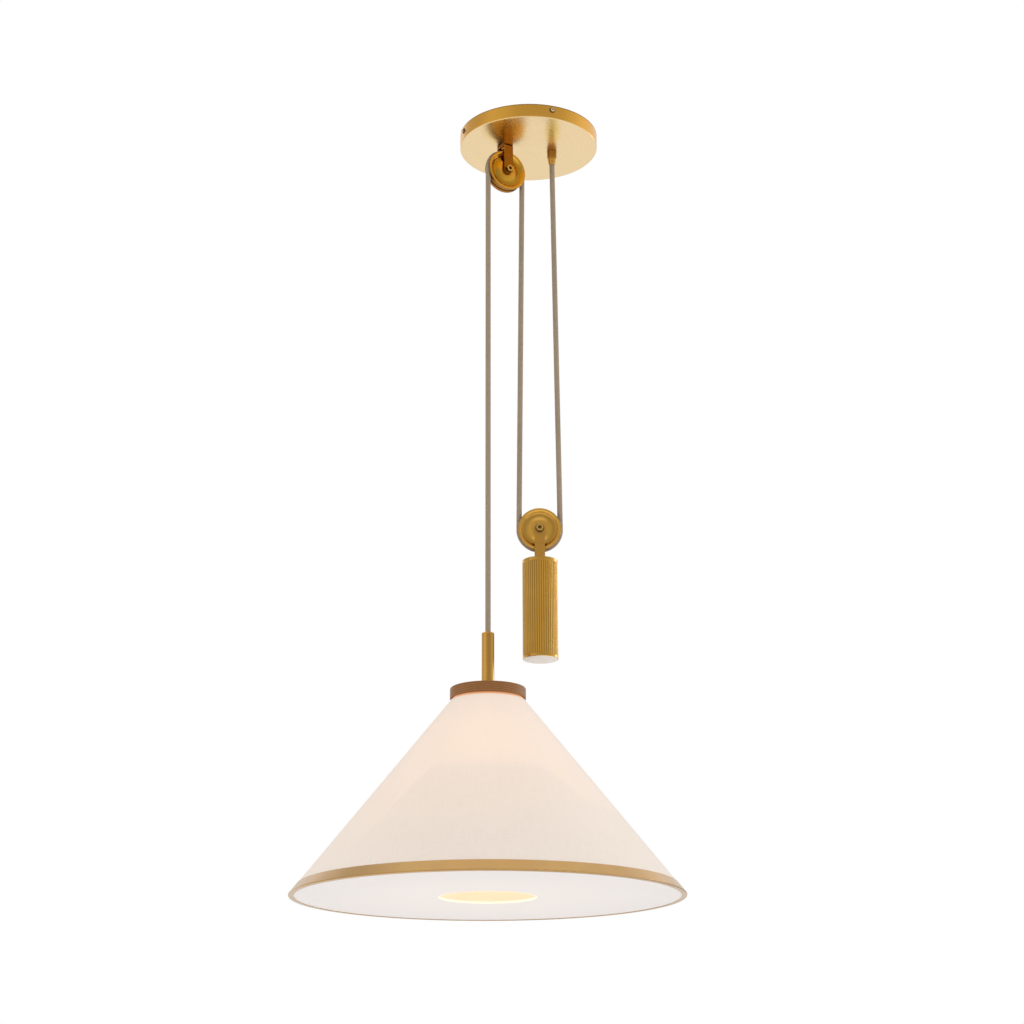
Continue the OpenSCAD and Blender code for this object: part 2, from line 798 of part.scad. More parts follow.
// Split collar that grips the cord inside the stem
module cord_clamp() {
    color(nylon) at_shade(clamp_z) difference() {
        cylinder(r = stem_bore_r - 0.2, h = clamp_h);
        translate([0, 0, -1]) cylinder(r = cord_r, h = clamp_h + 2);
        translate([-0.5, 0, -1]) cube([1, stem_r, clamp_h + 2]);
        on_clamp_screws() translate([0, 0, -stem_d]) cylinder(r = clamp_screw_r + tiny, h = 2 * stem_d);
    }
}

module cord_clamp_screws() {
    color(steel) at_shade(clamp_z) on_clamp_screws()
        translate([0, 0, -clamp_screw_l / 2]) cylinder(r = clamp_screw_r, h = clamp_screw_l);
}

module threaded_nipple() {
    nipple_l = stem_base_z + stem_floor_h - nipple_end_z;
    color(steel) at_shade(nipple_end_z) ring(thread_r, nipple_l, 0, cord_bore_r + 0.1);
}

// ---------- shade ----------

module shade_cap() {
    color(timber) at_shade(cap_base_z) difference() {
        rotate_extrude($fn = 120)
            polygon(concat(
                [[0, cap_recess_h], [0, cap_h]],
                arc([cap_r - cap_round, cap_h - cap_round], cap_round, 90, 0, 6),
                arc([cap_r - 0.5, 0.5], 0.5, 0, -90, 4),
                [[cap_recess_r + 0.4, 0], [cap_recess_r, 0.4], [cap_recess_r, cap_recess_h]]));
        translate([0, 0, -1]) cylinder(r = thread_r + 0.1, h = cap_h + 2);
    }
}

// Steel spider: a hub on the nipple, three arms and the ring that the fabric hangs from
module shade_carrier() {
    color(steel) at_shade() difference() {
        union() {
            translate([0, 0, recess_z - carrier_t]) {
                cylinder(r = carrier_hub_r, h = carrier_t);
                for (i = [0 : 2]) rotate([0, 0, 120 * i + 90])
                    translate([0, -carrier_arm_w / 2, 0]) cube([carrier_ring_r, carrier_arm_w, carrier_t]);
            }
            translate([0, 0, carrier_ring_z]) rotate_extrude()
                translate([carrier_ring_r, 0]) circle(r = wire_r, $fn = 24);
        }
        translate([0, 0, recess_z - carrier_t - 1]) cylinder(r = thread_r + 0.1, h = carrier_t + 2);
    }
}

module nipple_washer() {
    color(steel) at_shade() ring(11, nipple_washer_t, nut_top_z, thread_r + 0.1);
}

module nipple_nut() {
    color(steel) at_shade(nut_top_z - nipple_nut_h) hex_nut(thread_nut_af, nipple_nut_h, thread_r);
}

module lampholder_cap() {
    neck_r = 8;
    color(phenolic) at_shade(holder_floor_z) difference() {
        rotate_extrude()
            polygon(concat(
                [[0, 0], [holder_r, 0]],
                arc([holder_r - 9, holder_cap_h - 13], 9, 0, 90, 8),
                [[neck_r, holder_cap_h - 4], [neck_r, holder_cap_h], [0, holder_cap_h]]));
        translate([0, 0, holder_cap_h - 10]) cylinder(r = thread_r, h = 11);
        rotate_extrude()
            polygon([[0, -1], [holder_r - holder_wall, -1], [holder_r - holder_wall, 3], [7, 6], [0, 6]]);
    }
}

module lampholder_body() {
    color(phenolic) at_shade(holder_mouth_z) difference() {
        rotate_extrude()
            polygon([[0, 0], [holder_r - 1.5, 0], [holder_r, 2], [holder_r, holder_h], [0, holder_h]]);
        translate([0, 0, -1]) cylinder(r = shell_r, h = holder_h - 3);
        for (x = [-8, 8]) translate([x, 0, holder_h - 5]) cylinder(r = 1.8, h = 6);
    }
}

module lampholder_shell() {
    shell_h = 24;
    color(brass) at_shade(holder_mouth_z + 8) ring(shell_r, shell_h, 0, lamp_base_r + 0.3);
}

module lamp_base() {
    cap_l = lamp_contact_z - bulb_top_z;
    color(steel) at_shade(bulb_top_z) rotate_extrude()
        polygon([[0, 0], [lamp_base_r, 0], [lamp_base_r, cap_l - 7], [8, cap_l - 3], [5, cap_l - 2],
                 [4, cap_l], [0, cap_l]]);
}

module lamp_bulb() {
    neck_r = lamp_base_r - 0.2;
    neck_h = 8;
    shoulder = 40;                // angle on the globe where the neck's curve meets it
    globe_z = bulb_r - bulb_l;
    meet = [bulb_r * cos(shoulder), globe_z + bulb_r * sin(shoulder)];
    neck_steps = 8;
    glass_t = 0.9;
    neck = [for (i = [0 : neck_steps - 1])
        let (t = i / neck_steps)
            [neck_r + (meet.x - neck_r) * pow(t, 1.7), -neck_h + (meet.y + neck_h) * t]];
    outside = concat([[neck_r, 0]], neck, arc([0, globe_z], bulb_r, shoulder, -90, 24));
    inside = [for (i = [len(outside) - 1 : -1 : 0])
        [max(outside[i].x - glass_t, 0), outside[i].y + (outside[i].y < globe_z ? glass_t : 0)]];
    color(opal) at_shade(bulb_top_z) rotate_extrude() polygon(concat(outside, inside));
}

module shade_cone() {
    color(linen) at_shade() rotate_extrude($fn = 180)
        polygon([
            [cone_outer(cone_base_z), cone_base_z],
            [cone_outer(cone_top_z), cone_top_z],
            [cone_outer(cone_top_z) - fabric_run, cone_top_z],
            [cone_outer(cone_base_z) - fabric_run, cone_base_z]]);
}

module shade_bottom_ring() {
    color(steel) at_shade(bottom_wire_z) rotate_extrude($fn = 180)
        translate([bottom_ring_r, 0]) circle(r = bottom_wire_r, $fn = 24);
}

// Rolled strip: a cone outside the fabric, a bead at its foot and a lip turned in under the diffuser
module shade_band() {
    outward = [cos(cone_angle), sin(cone_angle)];
    upward = [-sin(cone_angle), cos(cone_angle)] * (band_h - bead_r) / cos(cone_angle);
    foot = bead_at + bead_r * outward;
    inner_foot = foot - band_t * outward;
    color(brass) at_shade() rotate_extrude($fn = 180) {
        polygon([foot, foot + upward, inner_foot + upward, inner_foot]);
        translate(bead_at) circle(r = bead_r, $fn = 24);
        translate([band_r - band_lip_w, mouth_z]) square([band_lip_w - bead_r, band_t]);
    }
}

module diffuser() {
    color(opal) at_shade(diffuser_z) difference() {
        rotate_extrude($fn = 180)
            polygon([[0, 0], [diffuser_r - 0.4, 0], [diffuser_r, 0.4], [diffuser_r, diffuser_t], [0, diffuser_t]]);
        translate([0, 0, -1]) cylinder(d = diffuser_hole_d, h = diffuser_t + 2);
    }
}

// ---------- every piece ----------

mounting_plate();
mounting_tabs();
ground_screw();
terminal_block();
terminal_screws();
cord_cores();
canopy_cup();
canopy_rim_screws();
cord_outlet();
cord_outlet_nut();
cord_canopy_end();
upper_bracket();
upper_bracket_screw();
upper_bracket_nut();
upper_axle();
upper_axle_washers();
upper_axle_nut();
upper_spacers();
cord_over_pulley();
cord_feed();
cord_middle();
cord_drop();
upper_pulley();
upper_pulley_bush();
weight_bracket();
weight_bracket_screw();
lower_axle();
lower_axle_washers();
lower_axle_nut();
lower_spacers();
cord_under_pulley();
weight_top_cap();
weight_sleeve();
weight_core();
weight_base_cap();
weight_base_pad();
lower_pulley();
lower_pulley_bush();
cord_stem_end();
stem_cap();
stem_tube();
cord_clamp();
cord_clamp_screws();
threaded_nipple();
shade_cap();
shade_carrier();
nipple_washer();
nipple_nut();
lampholder_cap();
lampholder_body();
lampholder_shell();
lamp_base();
lamp_bulb();
shade_cone();
shade_bottom_ring();
shade_band();
diffuser();
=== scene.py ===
# Rise and fall pendant: the finishes, the braided cord, the linen shade, the camera and the light.
import math

import bmesh
import bpy
from mathutils import Matrix, Vector


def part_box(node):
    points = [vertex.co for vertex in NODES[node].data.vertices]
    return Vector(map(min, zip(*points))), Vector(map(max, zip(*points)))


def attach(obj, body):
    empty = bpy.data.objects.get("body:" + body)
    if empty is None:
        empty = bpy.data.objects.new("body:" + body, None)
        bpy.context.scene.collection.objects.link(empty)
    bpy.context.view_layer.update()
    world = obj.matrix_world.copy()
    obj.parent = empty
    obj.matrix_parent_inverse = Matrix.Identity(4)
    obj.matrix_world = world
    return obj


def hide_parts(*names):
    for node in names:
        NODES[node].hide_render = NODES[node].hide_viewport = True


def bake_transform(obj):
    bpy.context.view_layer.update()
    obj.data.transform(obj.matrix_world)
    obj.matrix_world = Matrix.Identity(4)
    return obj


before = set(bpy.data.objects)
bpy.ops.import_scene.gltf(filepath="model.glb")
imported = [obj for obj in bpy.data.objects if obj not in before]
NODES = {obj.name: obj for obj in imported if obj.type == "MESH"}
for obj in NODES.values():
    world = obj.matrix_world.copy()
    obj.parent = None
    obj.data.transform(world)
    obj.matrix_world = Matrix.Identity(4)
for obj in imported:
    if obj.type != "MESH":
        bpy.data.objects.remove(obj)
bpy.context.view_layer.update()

SCENE = bpy.context.scene
SCENE.view_settings.view_transform = "Standard"


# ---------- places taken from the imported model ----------

def middle(node):
    low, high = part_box(node)
    return (low + high) / 2


def top(node):
    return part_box(node)[1].z


def foot(node):
    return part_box(node)[0].z


OUTLET = middle("cord_outlet")
UPPER = middle("upper_pulley")
LOWER = middle("lower_pulley")
WEIGHT = middle("weight_sleeve")
SHADE = middle("diffuser")
STEM = middle("cord_drop")

# ---------- camera ----------

CAMERA_PLACE = (-0.0255, -2.6949, -1.4296)
CAMERA_PITCH = 17.71
CAMERA_LENS = 72.95
CAMERA_ROLL = -0.185

camera_data = bpy.data.cameras.new("camera")
camera_data.lens = CAMERA_LENS
camera_data.sensor_width = 36
camera = bpy.data.objects.new("camera", camera_data)
camera.location = CAMERA_PLACE
camera.rotation_euler = (Matrix.Rotation(math.radians(90 + CAMERA_PITCH), 3, "X")
                         @ Matrix.Rotation(math.radians(CAMERA_ROLL), 3, "Z")).to_euler()
SCENE.collection.objects.link(camera)
SCENE.camera = camera


# ---------- making pieces ----------

def piece_from(mesh, name, *materials):
    """A new object with its place in its mesh, and its materials in order."""
    mesh.name = name
    piece = bpy.data.objects.new(name, mesh)
    SCENE.collection.objects.link(piece)
    for material in materials:
        mesh.materials.append(material)
    return piece


def piece_from_bmesh(bm, name, *materials):
    mesh = bpy.data.meshes.new(name)
    bm.to_mesh(mesh)
    bm.free()
    return piece_from(mesh, name, *materials)


def tube(name, route, radius, sides=5):
    """A round tube along a route, with U along it from 0 to 1 and V once round it."""
    line = bpy.data.curves.new(name, "CURVE")
    line.dimensions = "3D"
    line.twist_mode = "MINIMUM"
    line.bevel_depth = radius
    line.bevel_resolution = sides
    line.use_fill_caps = True
    spline = line.splines.new("POLY")
    spline.points.add(len(route) - 1)
    for point, place in zip(spline.points, route):
        point.co = (*place, 1)
    carrier = bpy.data.objects.new(name + "_line", line)
    mesh = bpy.data.meshes.new_from_object(carrier)
    bpy.data.objects.remove(carrier)
    bpy.data.curves.remove(line)
    mesh.polygons.foreach_set("use_smooth", [True] * len(mesh.polygons))
    return mesh


def route_length(route):
    return sum((b - a).length for a, b in zip(route, route[1:]))


def straight(start, end, step):
    """Points from start up to, and without, end."""
    count = max(1, round((end - start).length / step))
    return [start.lerp(end, i / count) for i in range(count)]


def round_pulley(centre, across, radius, start, end, count):
    """Points on a circle in the plane of across and +Z, from one angle to another, in degrees."""
    points = []
    for i in range(count + 1):
        a = math.radians(start + (end - start) * i / count)
        points.append(centre + radius * (math.cos(a) * across + math.sin(a) * Vector((0, 0, 1))))
    return points


# ---------- cord ----------

CORD_R = 0.00365
CORD_PATH_R = 0.0281      # radius at which the cord's middle lies in a groove
CORD_STEP = 0.007         # between points on a free run
WRAP_POINTS = 26          # on a quarter turn round a pulley


def lean(above, centre, radius):
    """Angle by which a straight stretch leans in from its pulley's tangent point."""
    aside, rise = abs(above.x - centre.x), above.z - centre.z
    return math.degrees(math.asin(radius / math.hypot(aside, rise)) - math.atan(aside / rise))


outlet_mouth = Vector((OUTLET.x, OUTLET.y, foot("cord_outlet")))
sheath_end = Vector((OUTLET.x, OUTLET.y, top("cord_canopy_end")))
fall = Vector((STEM.x, STEM.y, UPPER.z))
across_upper = (UPPER - fall).normalized()
rise = UPPER + CORD_PATH_R * across_upper
feed_lean = lean(outlet_mouth, LOWER, CORD_PATH_R)
middle_lean = lean(rise, LOWER, CORD_PATH_R)
under = round_pulley(LOWER, Vector((1, 0, 0)), CORD_PATH_R, feed_lean, -180 - middle_lean, 2 * WRAP_POINTS)
over_first = round_pulley(UPPER, across_upper, CORD_PATH_R, 0, 90, WRAP_POINTS)
over_last = round_pulley(UPPER, across_upper, CORD_PATH_R, 90, 180, WRAP_POINTS)
stem_end = Vector((STEM.x, STEM.y, foot("cord_stem_end")))

loop_route = (straight(sheath_end, outlet_mouth, CORD_STEP) + straight(outlet_mouth, under[0], CORD_STEP)
              + under[:-1] + straight(under[-1], over_first[0], CORD_STEP) + over_first)
drop_route = over_last[:-1] + straight(over_last[-1], stem_end, CORD_STEP) + [stem_end]


def braided_cord(name, route):
    """A cord with its U in metres, so that the braid keeps its size."""
    mesh = tube(name, route, CORD_R, 6)
    length = route_length(route)
    for corner in mesh.uv_layers[0].data:
        corner.uv.x *= length
    return piece_from(mesh, name)


cord_loop = braided_cord("cord_to_weight", loop_route)
cord_drop = braided_cord("cord_to_shade", drop_route)


# ---------- shader helpers ----------

def put(tree, kind, wires=None, **settings):
    """Adds a shader node. wires gives each input a value, or the output that feeds it."""
    new = tree.nodes.new("ShaderNode" + kind)
    for key, value in settings.items():
        setattr(new, key, value)
    for key, value in (wires or {}).items():
        if isinstance(value, bpy.types.NodeSocket):
            tree.links.new(value, new.inputs[key])
        else:
            new.inputs[key].default_value = value
    return new


def maths(tree, operation, a, b=0.5, c=0.5):
    return put(tree, "Math", {0: a, 1: b, 2: c}, operation=operation).outputs[0]


def times(tree, a, b):
    return maths(tree, "MULTIPLY", a, b)


def vector_maths(tree, operation, *values):
    """The vector that an operation gives, or its value where it gives a plain number."""
    new = put(tree, "VectorMath", dict(enumerate(values)), operation=operation)
    return new.outputs["Value" if operation in ("LENGTH", "DOT_PRODUCT") else "Vector"]


def split(tree, vector):
    """The three axes of a vector."""
    return put(tree, "SeparateXYZ", {0: vector}).outputs


def join(tree, x, y, z):
    return put(tree, "CombineXYZ", {0: x, 1: y, 2: z}).outputs[0]


def remap(tree, value, low, high, to_low, to_high, smooth=False):
    return put(tree, "MapRange", {0: value, 1: low, 2: high, 3: to_low, 4: to_high},
               interpolation_type="SMOOTHSTEP" if smooth else "LINEAR").outputs[0]


def ease(tree, value, low, high):
    """Rises smoothly from 0 at low to 1 at high."""
    return remap(tree, value, low, high, 0.0, 1.0, True)


def vary(tree, value, low, high):
    """The middle of a noise, spread from low to high."""
    return remap(tree, value, 0.3, 0.7, low, high)


def blend_colours(tree, factor, a, b):
    """Colour a where the factor is 0 and colour b where it is 1."""
    mix = put(tree, "Mix", data_type="RGBA")
    for socket, value in zip((mix.inputs[0], mix.inputs[6], mix.inputs[7]), (factor, a, b)):
        if isinstance(value, bpy.types.NodeSocket):
            tree.links.new(value, socket)
        else:
            socket.default_value = value if isinstance(value, float) else (*value, 1)[:4]
    return mix.outputs[2]


def tint(tree, colour, value):
    """A colour made darker or lighter by a factor."""
    return put(tree, "VectorMath", {0: colour, "Scale": value}, operation="SCALE").outputs[0]


def new_group(name, inputs, outputs):
    """A node group with named sockets, and its inner ends."""
    group = bpy.data.node_groups.new(name, "ShaderNodeTree")
    for socket_name, kind, value in inputs:
        socket = group.interface.new_socket(name=socket_name, in_out="INPUT", socket_type="NodeSocket" + kind)
        if kind == "Float":
            socket.default_value = value
    for socket_name, kind in outputs:
        group.interface.new_socket(name=socket_name, in_out="OUTPUT", socket_type="NodeSocket" + kind)
    inside = group.nodes.new("NodeGroupInput")
    outside = group.nodes.new("NodeGroupOutput")
    return group, inside.outputs, outside.inputs


def use(tree, group, **values):
    """Adds a shared effect, and gives each of its inputs a value or the output that feeds it."""
    new = tree.nodes.new("ShaderNodeGroup")
    new.node_tree = group
    for key, value in values.items():
        if isinstance(value, bpy.types.NodeSocket):
            tree.links.new(value, new.inputs[key])
        else:
            new.inputs[key].default_value = value
    return new.outputs


def new_material(name, **constants):
    """A material with its Principled shader, whose plain values are set on its own sockets."""
    material = bpy.data.materials.new(name)
    material.use_nodes = True
    tree = material.node_tree
    shader = tree.nodes["Principled BSDF"]
    for key, value in constants.items():
        shader.inputs[key.replace("_", " ").title().replace("Ior", "IOR")].default_value = value
    return material, tree, shader


def feed(tree, shader, **sockets):
    """Links outputs to the shader's inputs of the same names."""
    for key, socket in sockets.items():
        tree.links.new(socket, shader.inputs[key.replace("_", " ").title()])


def raised(tree, height, distance, strength=1.0, normal=None):
    wires = {"Height": height, "Distance": distance, "Strength": strength}
    if normal is not None:
        wires["Normal"] = normal
    return put(tree, "Bump", wires).outputs[0]


def object_place(tree):
    return put(tree, "TexCoord").outputs["Object"]


def part_place(tree, centre=(0, 0, 0)):
    """Object coordinates moved to a part's own centre."""
    return put(tree, "Mapping", {"Vector": object_place(tree), "Location": centre},
               vector_type="TEXTURE").outputs[0]


def cloth_place(tree):
    """Place on a flat cloth, or along and round a cord."""
    return put(tree, "UVMap", uv_map="UVMap").outputs[0]


def noise(tree, vector, scale, detail=3.0, roughness=0.5, w=None):
    wires = {"Vector": vector, "Scale": scale, "Detail": detail, "Roughness": roughness}
    if w is None:
        return put(tree, "TexNoise", wires).outputs["Fac"]
    return put(tree, "TexNoise", {**wires, "W": w}, noise_dimensions="4D").outputs["Fac"]


# ---------- shared effects ----------

def make_spun():
    """Rings that a lathe leaves round an axis, the way they run, and slow patches where air has dulled them."""
    group, given, result = new_group(
        "spun_metal",
        [("Place", "Vector", None), ("Centre", "Vector", None), ("Axis", "Vector", None),
         ("Lines", "Float", 900.0), ("Round", "Float", 0.8)],
        [("Lines", "Float"), ("Patches", "Float"), ("Smudges", "Float"), ("Along", "Vector"),
         ("Radius", "Float"), ("Depth", "Float")])
    away = vector_maths(group, "SUBTRACT", given["Place"], given["Centre"])
    depth = vector_maths(group, "DOT_PRODUCT", away, given["Axis"])
    on_axis = put(group, "VectorMath", {0: given["Axis"], "Scale": depth}, operation="SCALE").outputs[0]
    flat = vector_maths(group, "SUBTRACT", away, on_axis)
    radius = vector_maths(group, "LENGTH", flat)
    turn = split(group, vector_maths(group, "NORMALIZE", flat))
    section = join(group, times(group, radius, given["Lines"]),
                   times(group, depth, given["Lines"]), times(group, turn[0], given["Round"]))
    other = times(group, maths(group, "ADD", turn[1], turn[2]), given["Round"])
    group.links.new(noise(group, section, 1.0, 2.0, 0.6, w=other), result["Lines"])
    group.links.new(ease(group, noise(group, given["Place"], 22.0, 3.0), 0.3, 0.7), result["Patches"])
    group.links.new(ease(group, noise(group, given["Place"], 70.0, 4.0, 0.6), 0.35, 0.7), result["Smudges"])
    along = vector_maths(group, "CROSS_PRODUCT", given["Axis"], flat)
    along = put(group, "VectorTransform", {0: along}, vector_type="VECTOR", convert_from="OBJECT",
                convert_to="WORLD").outputs[0]
    group.links.new(along, result["Along"])
    group.links.new(radius, result["Radius"])
    group.links.new(depth, result["Depth"])
    return group


SPUN = make_spun()
UP = (0, 0, 1)
FORWARD = (0, -1, 0)
CORNER_REACH = 0.004               # how near another surface has to be for the brass to darken
DULLED = (0.90, 0.86, 0.80)        # what slow patches do to the tone


def brass(name, tone, centre=(0, 0, 0), axis=UP, roughness=0.27, lines=900.0, round_it=0.8, stretch=0.45,
          lacquer=0.5, index=2.0, gloss=0.16, dark=0.7, edge_r=0.0005, patchy=0.55, relief=0.000004,
          finish=None):
    """Lacquered satin brass. Turned lines round its axis, painted shade with some dirt in its corners, and
    brighter, smoother edges.
    """
    material, tree, shader = new_material(name, metallic=1.0, coat_weight=lacquer, coat_roughness=gloss,
                                          coat_ior=index, anisotropic=stretch, anisotropic_rotation=0.25)
    place = object_place(tree)
    marks = use(tree, SPUN, Place=place, Centre=tuple(centre), Axis=tuple(axis), Lines=lines, Round=round_it)
    rounded = put(tree, "Bevel", {"Radius": edge_r}, samples=4).outputs[0]
    true = put(tree, "NewGeometry").outputs["Normal"]
    facing = vector_maths(tree, "DOT_PRODUCT", rounded, true)
    edge = remap(tree, facing, 0.99, 0.9, 0.0, 1.0)
    # Brass near other surfaces is darkened: painted shade in corners, with some dirt.
    open_air = put(tree, "AmbientOcclusion", {"Distance": CORNER_REACH}, samples=6).outputs["AO"]
    dull = tuple(c * f for c, f in zip(tone, DULLED))
    rubbed = tuple(min(1.0, 1.12 * c + 0.07) for c in tone)
    corner_grime_and_shade = tuple(c * (1 - dark) for c in tone)
    colour = blend_colours(tree, times(tree, marks["Patches"], patchy), tone, dull)
    if finish:
        colour = finish(tree, marks, colour)
    colour = tint(tree, colour, vary(tree, marks["Lines"], 0.96, 1.04))
    colour = blend_colours(tree, times(tree, edge, 0.55), colour, rubbed)
    colour = blend_colours(tree, ease(tree, open_air, 0.15, 0.85), corner_grime_and_shade, colour)
    rough = maths(tree, "ADD", vary(tree, marks["Lines"], -0.03, 0.03),
                  remap(tree, marks["Smudges"], 0.0, 1.0, roughness - 0.02, roughness + 0.08 * patchy))
    rough = maths(tree, "SUBTRACT", rough, times(tree, edge, 0.06))
    feed(tree, shader, base_color=colour, roughness=rough, tangent=marks["Along"],
         normal=raised(tree, marks["Lines"], relief, 0.5, rounded))
    return material


SCREW_TONE = (0.86, 0.43, 0.03)
CUP_TONE = (0.86, 0.43, 0.05)
# The paler tone of the face that looks down is painted light; the richer one is painted reflection.
PAINTED_LIT_FACE_TONE = (0.85, 0.64, 0.35)
PAINTED_REFLECTION_TONE = (0.85, 0.585, 0.16)
PULLEY_TONE = (0.80, 0.415, 0.035)
# Painted shade on the pulleys: in the dished face, and in the groove.
TROUGH_SHADE_TONE = tuple(c * f for c, f in zip(PULLEY_TONE, (0.66, 0.64, 0.36)))
GROOVE_SHADE_TONE = (0.30, 0.125, 0.03)
WEIGHT_TONE = (0.73, 0.38, 0.02)
# The upper strap's darker tone is painted shade.
SHADED_UPPER_STRAP_TONE = (0.395, 0.145, 0.005)
LOWER_STRAP_TONE = (0.69, 0.335, 0.025)
STEM_TONE = (0.79, 0.40, 0.035)
BAND_TONE = (0.60, 0.335, 0.08)
# The outlet's dark collar is painted shade, and its brighter tip is painted light.
SHADED_COLLAR_TONE = (0.36, 0.155, 0.008)
LIT_TIP_TONE = (0.70, 0.40, 0.075)
# Painted highlights for the crowns of screw and axle heads.
SCREW_HIGHLIGHT = (0.95, 0.74, 0.42)
AXLE_HIGHLIGHT = (0.74, 0.47, 0.16)
# Black painted shade, for recesses such as sockets and holes.
RECESS_SHADE_BLACK = (0.018, 0.012, 0.008)

# Where a finish starts and where it is full, in metres: radii from a part's own axis, and heights.
# Radii between which the reeds' painted shade turns to their lighter crests.
REED_SHADE = (0.02315, 0.0238)
INTO_TROUGH, OUT_OF_TROUGH = (0.0115, 0.0195), (0.0205, 0.0271)
FLANGE_EDGE = (0.0288, 0.0293)
GROOVE_FLOOR, GROOVE_SIDE = (0.0238, 0.0242), (0.0052, 0.0047)
RIM_SCREW_SHADE = (0.0995, 0.0999)
AXLE_SHADOW_RING, AXLE_HOLE_SHADE = (0.0048, 0.0053), (0.0024, 0.0027)
# The ceiling heights set a painted shadow where the rim meets the ceiling.
CEILING_SHADOW, CUP_FACE = (-0.0022, -0.0004), (-0.0186, -0.0197)
OUTLET_TIP_LIGHT = (-0.029, -0.034)
# Painted reflections of the fittings on the canopy's face, in a richer gold: each one's place, and how narrow it
# is.
REFLECTION_SPOTS = ((UPPER.x, -0.058, 1.35), (OUTLET.x, -0.056, 3.6))
REFLECTION_REACH = (0.052, 0.016)


def reed_valley_shade(tree, marks, colour):
    """Painted shade in the valleys between the reeds, and lighter crests."""
    return tint(tree, colour, remap(tree, marks["Radius"], *REED_SHADE, 0.60, 1.12, True))


def dished(depth):
    """A pulley: painted shade, browner, where the dished face sinks lowest, and darker painted shade in the
    groove and on the flanges' edges.
    """
    def finish(tree, marks, colour):
        into = ease(tree, marks["Radius"], *INTO_TROUGH)
        out_of = ease(tree, marks["Radius"], *OUT_OF_TROUGH)
        trough_shade = times(tree, maths(tree, "SUBTRACT", into, times(tree, into, out_of)), depth)
        colour = blend_colours(tree, trough_shade, colour, TROUGH_SHADE_TONE)
        far_out = ease(tree, marks["Radius"], *FLANGE_EDGE)
        groove = times(tree, ease(tree, marks["Radius"], *GROOVE_FLOOR),
                       ease(tree, maths(tree, "ABSOLUTE", marks["Depth"]), *GROOVE_SIDE))
        groove_shade = times(tree, maths(tree, "MAXIMUM", far_out, groove), 0.85)
        return blend_colours(tree, groove_shade, colour, GROOVE_SHADE_TONE)
    return finish


def painted_crown_light(tree, colour, outward, crown):
    """A painted highlight on the crown that faces outward, and painted shade on the flanks."""
    turned = put(tree, "TexCoord").outputs["Normal"]
    facing = vector_maths(tree, "DOT_PRODUCT", turned, outward)
    pale = blend_colours(tree, 0.6, colour, crown)
    return blend_colours(tree, ease(tree, facing, 0.35, 0.85), tint(tree, colour, 0.22), pale)


def rim_screw_finish(tree, marks, colour):
    """A painted highlight on the head, and black painted shade on the washer round it and in its socket."""
    axes = split(tree, object_place(tree))
    flat = join(tree, axes[0], axes[1], 0.0)
    colour = painted_crown_light(tree, colour, vector_maths(tree, "NORMALIZE", flat), SCREW_HIGHLIGHT)
    # Black painted shade below the head: on the washer and in the socket.
    return blend_colours(tree, remap(tree, marks["Radius"], *RIM_SCREW_SHADE, 0.0, 1.0), RECESS_SHADE_BLACK, colour)


def axle_finish(outward):
    """A painted highlight on the hexagonal head, black painted shade in its hole, and a ring of painted shadow
    on the washers.
    """
    def finish(tree, marks, colour):
        colour = painted_crown_light(tree, colour, tuple(outward), AXLE_HIGHLIGHT)
        # A ring of painted shadow round the head, on the washers.
        washer = remap(tree, marks["Radius"], *AXLE_SHADOW_RING, 0.0, 1.0)
        colour = blend_colours(tree, washer, colour, tint(tree, colour, 0.25))
        return blend_colours(tree, remap(tree, marks["Radius"], *AXLE_HOLE_SHADE, 0.0, 1.0), RECESS_SHADE_BLACK, colour)
    return finish


def drawn(tree, marks, colour):
    """A drawn tube: long dark and bright bands round it, which are painted reflections, and hairlines between
    them.
    """
    place = vector_maths(tree, "SUBTRACT", object_place(tree), (STEM.x, STEM.y, 0))
    axes = split(tree, place)
    turn = maths(tree, "ARCTAN2", axes[0], times(tree, axes[1], -1.0))
    wander = noise(tree, join(tree, 0.0, 0.0, times(tree, axes[2], 30.0)), 1.0, 1.0)
    turn = maths(tree, "ADD", turn, vary(tree, wander, -0.04, 0.04))
    # Bright and dark bands at fixed turns round the stem: painted reflections.
    reflection_band = times(tree, maths(tree, "SINE", maths(tree, "MULTIPLY_ADD", turn, 5.0, 4.2)), 0.5)
    broad_reflection = times(tree, maths(tree, "SINE", maths(tree, "MULTIPLY_ADD", turn, 2.0, 3.3)), 0.5)
    hair = join(tree, times(tree, turn, 60.0), 1.0, times(tree, axes[2], 9.0))
    colour = tint(tree, colour, remap(tree, maths(tree, "ADD", reflection_band, broad_reflection), -1.0, 1.0, 0.66, 1.16))
    return tint(tree, colour, vary(tree, noise(tree, hair, 1.0, 2.0), 0.93, 1.07))


def cup_finish(tree, marks, colour):
    """Painted light on the face that looks down, which is paler, painted reflections of the fittings on it in a
    richer gold, and a painted shadow line at the ceiling.
    """
    place = object_place(tree)
    height = split(tree, place)[2]
    # A painted shadow along the rim's top edge, at the ceiling.
    colour = tint(tree, colour, remap(tree, height, *CEILING_SHADOW, 1.0, 0.45, True))
    reflection_masks = []
    for spot_x, spot_y, narrow in REFLECTION_SPOTS:
        away = vector_maths(tree, "SUBTRACT", place, (spot_x, spot_y, 0))
        away = vector_maths(tree, "MULTIPLY", away, (narrow, 1, 0))
        away = vector_maths(tree, "LENGTH", away)
        reflection_masks.append(ease(tree, away, *REFLECTION_REACH))
    # Painted reflections of the fittings on the paler, painted-light face.
    face = blend_colours(tree, maths(tree, "MAXIMUM", *reflection_masks), PAINTED_LIT_FACE_TONE, PAINTED_REFLECTION_TONE)
    return blend_colours(tree, ease(tree, height, *CUP_FACE), colour, face)


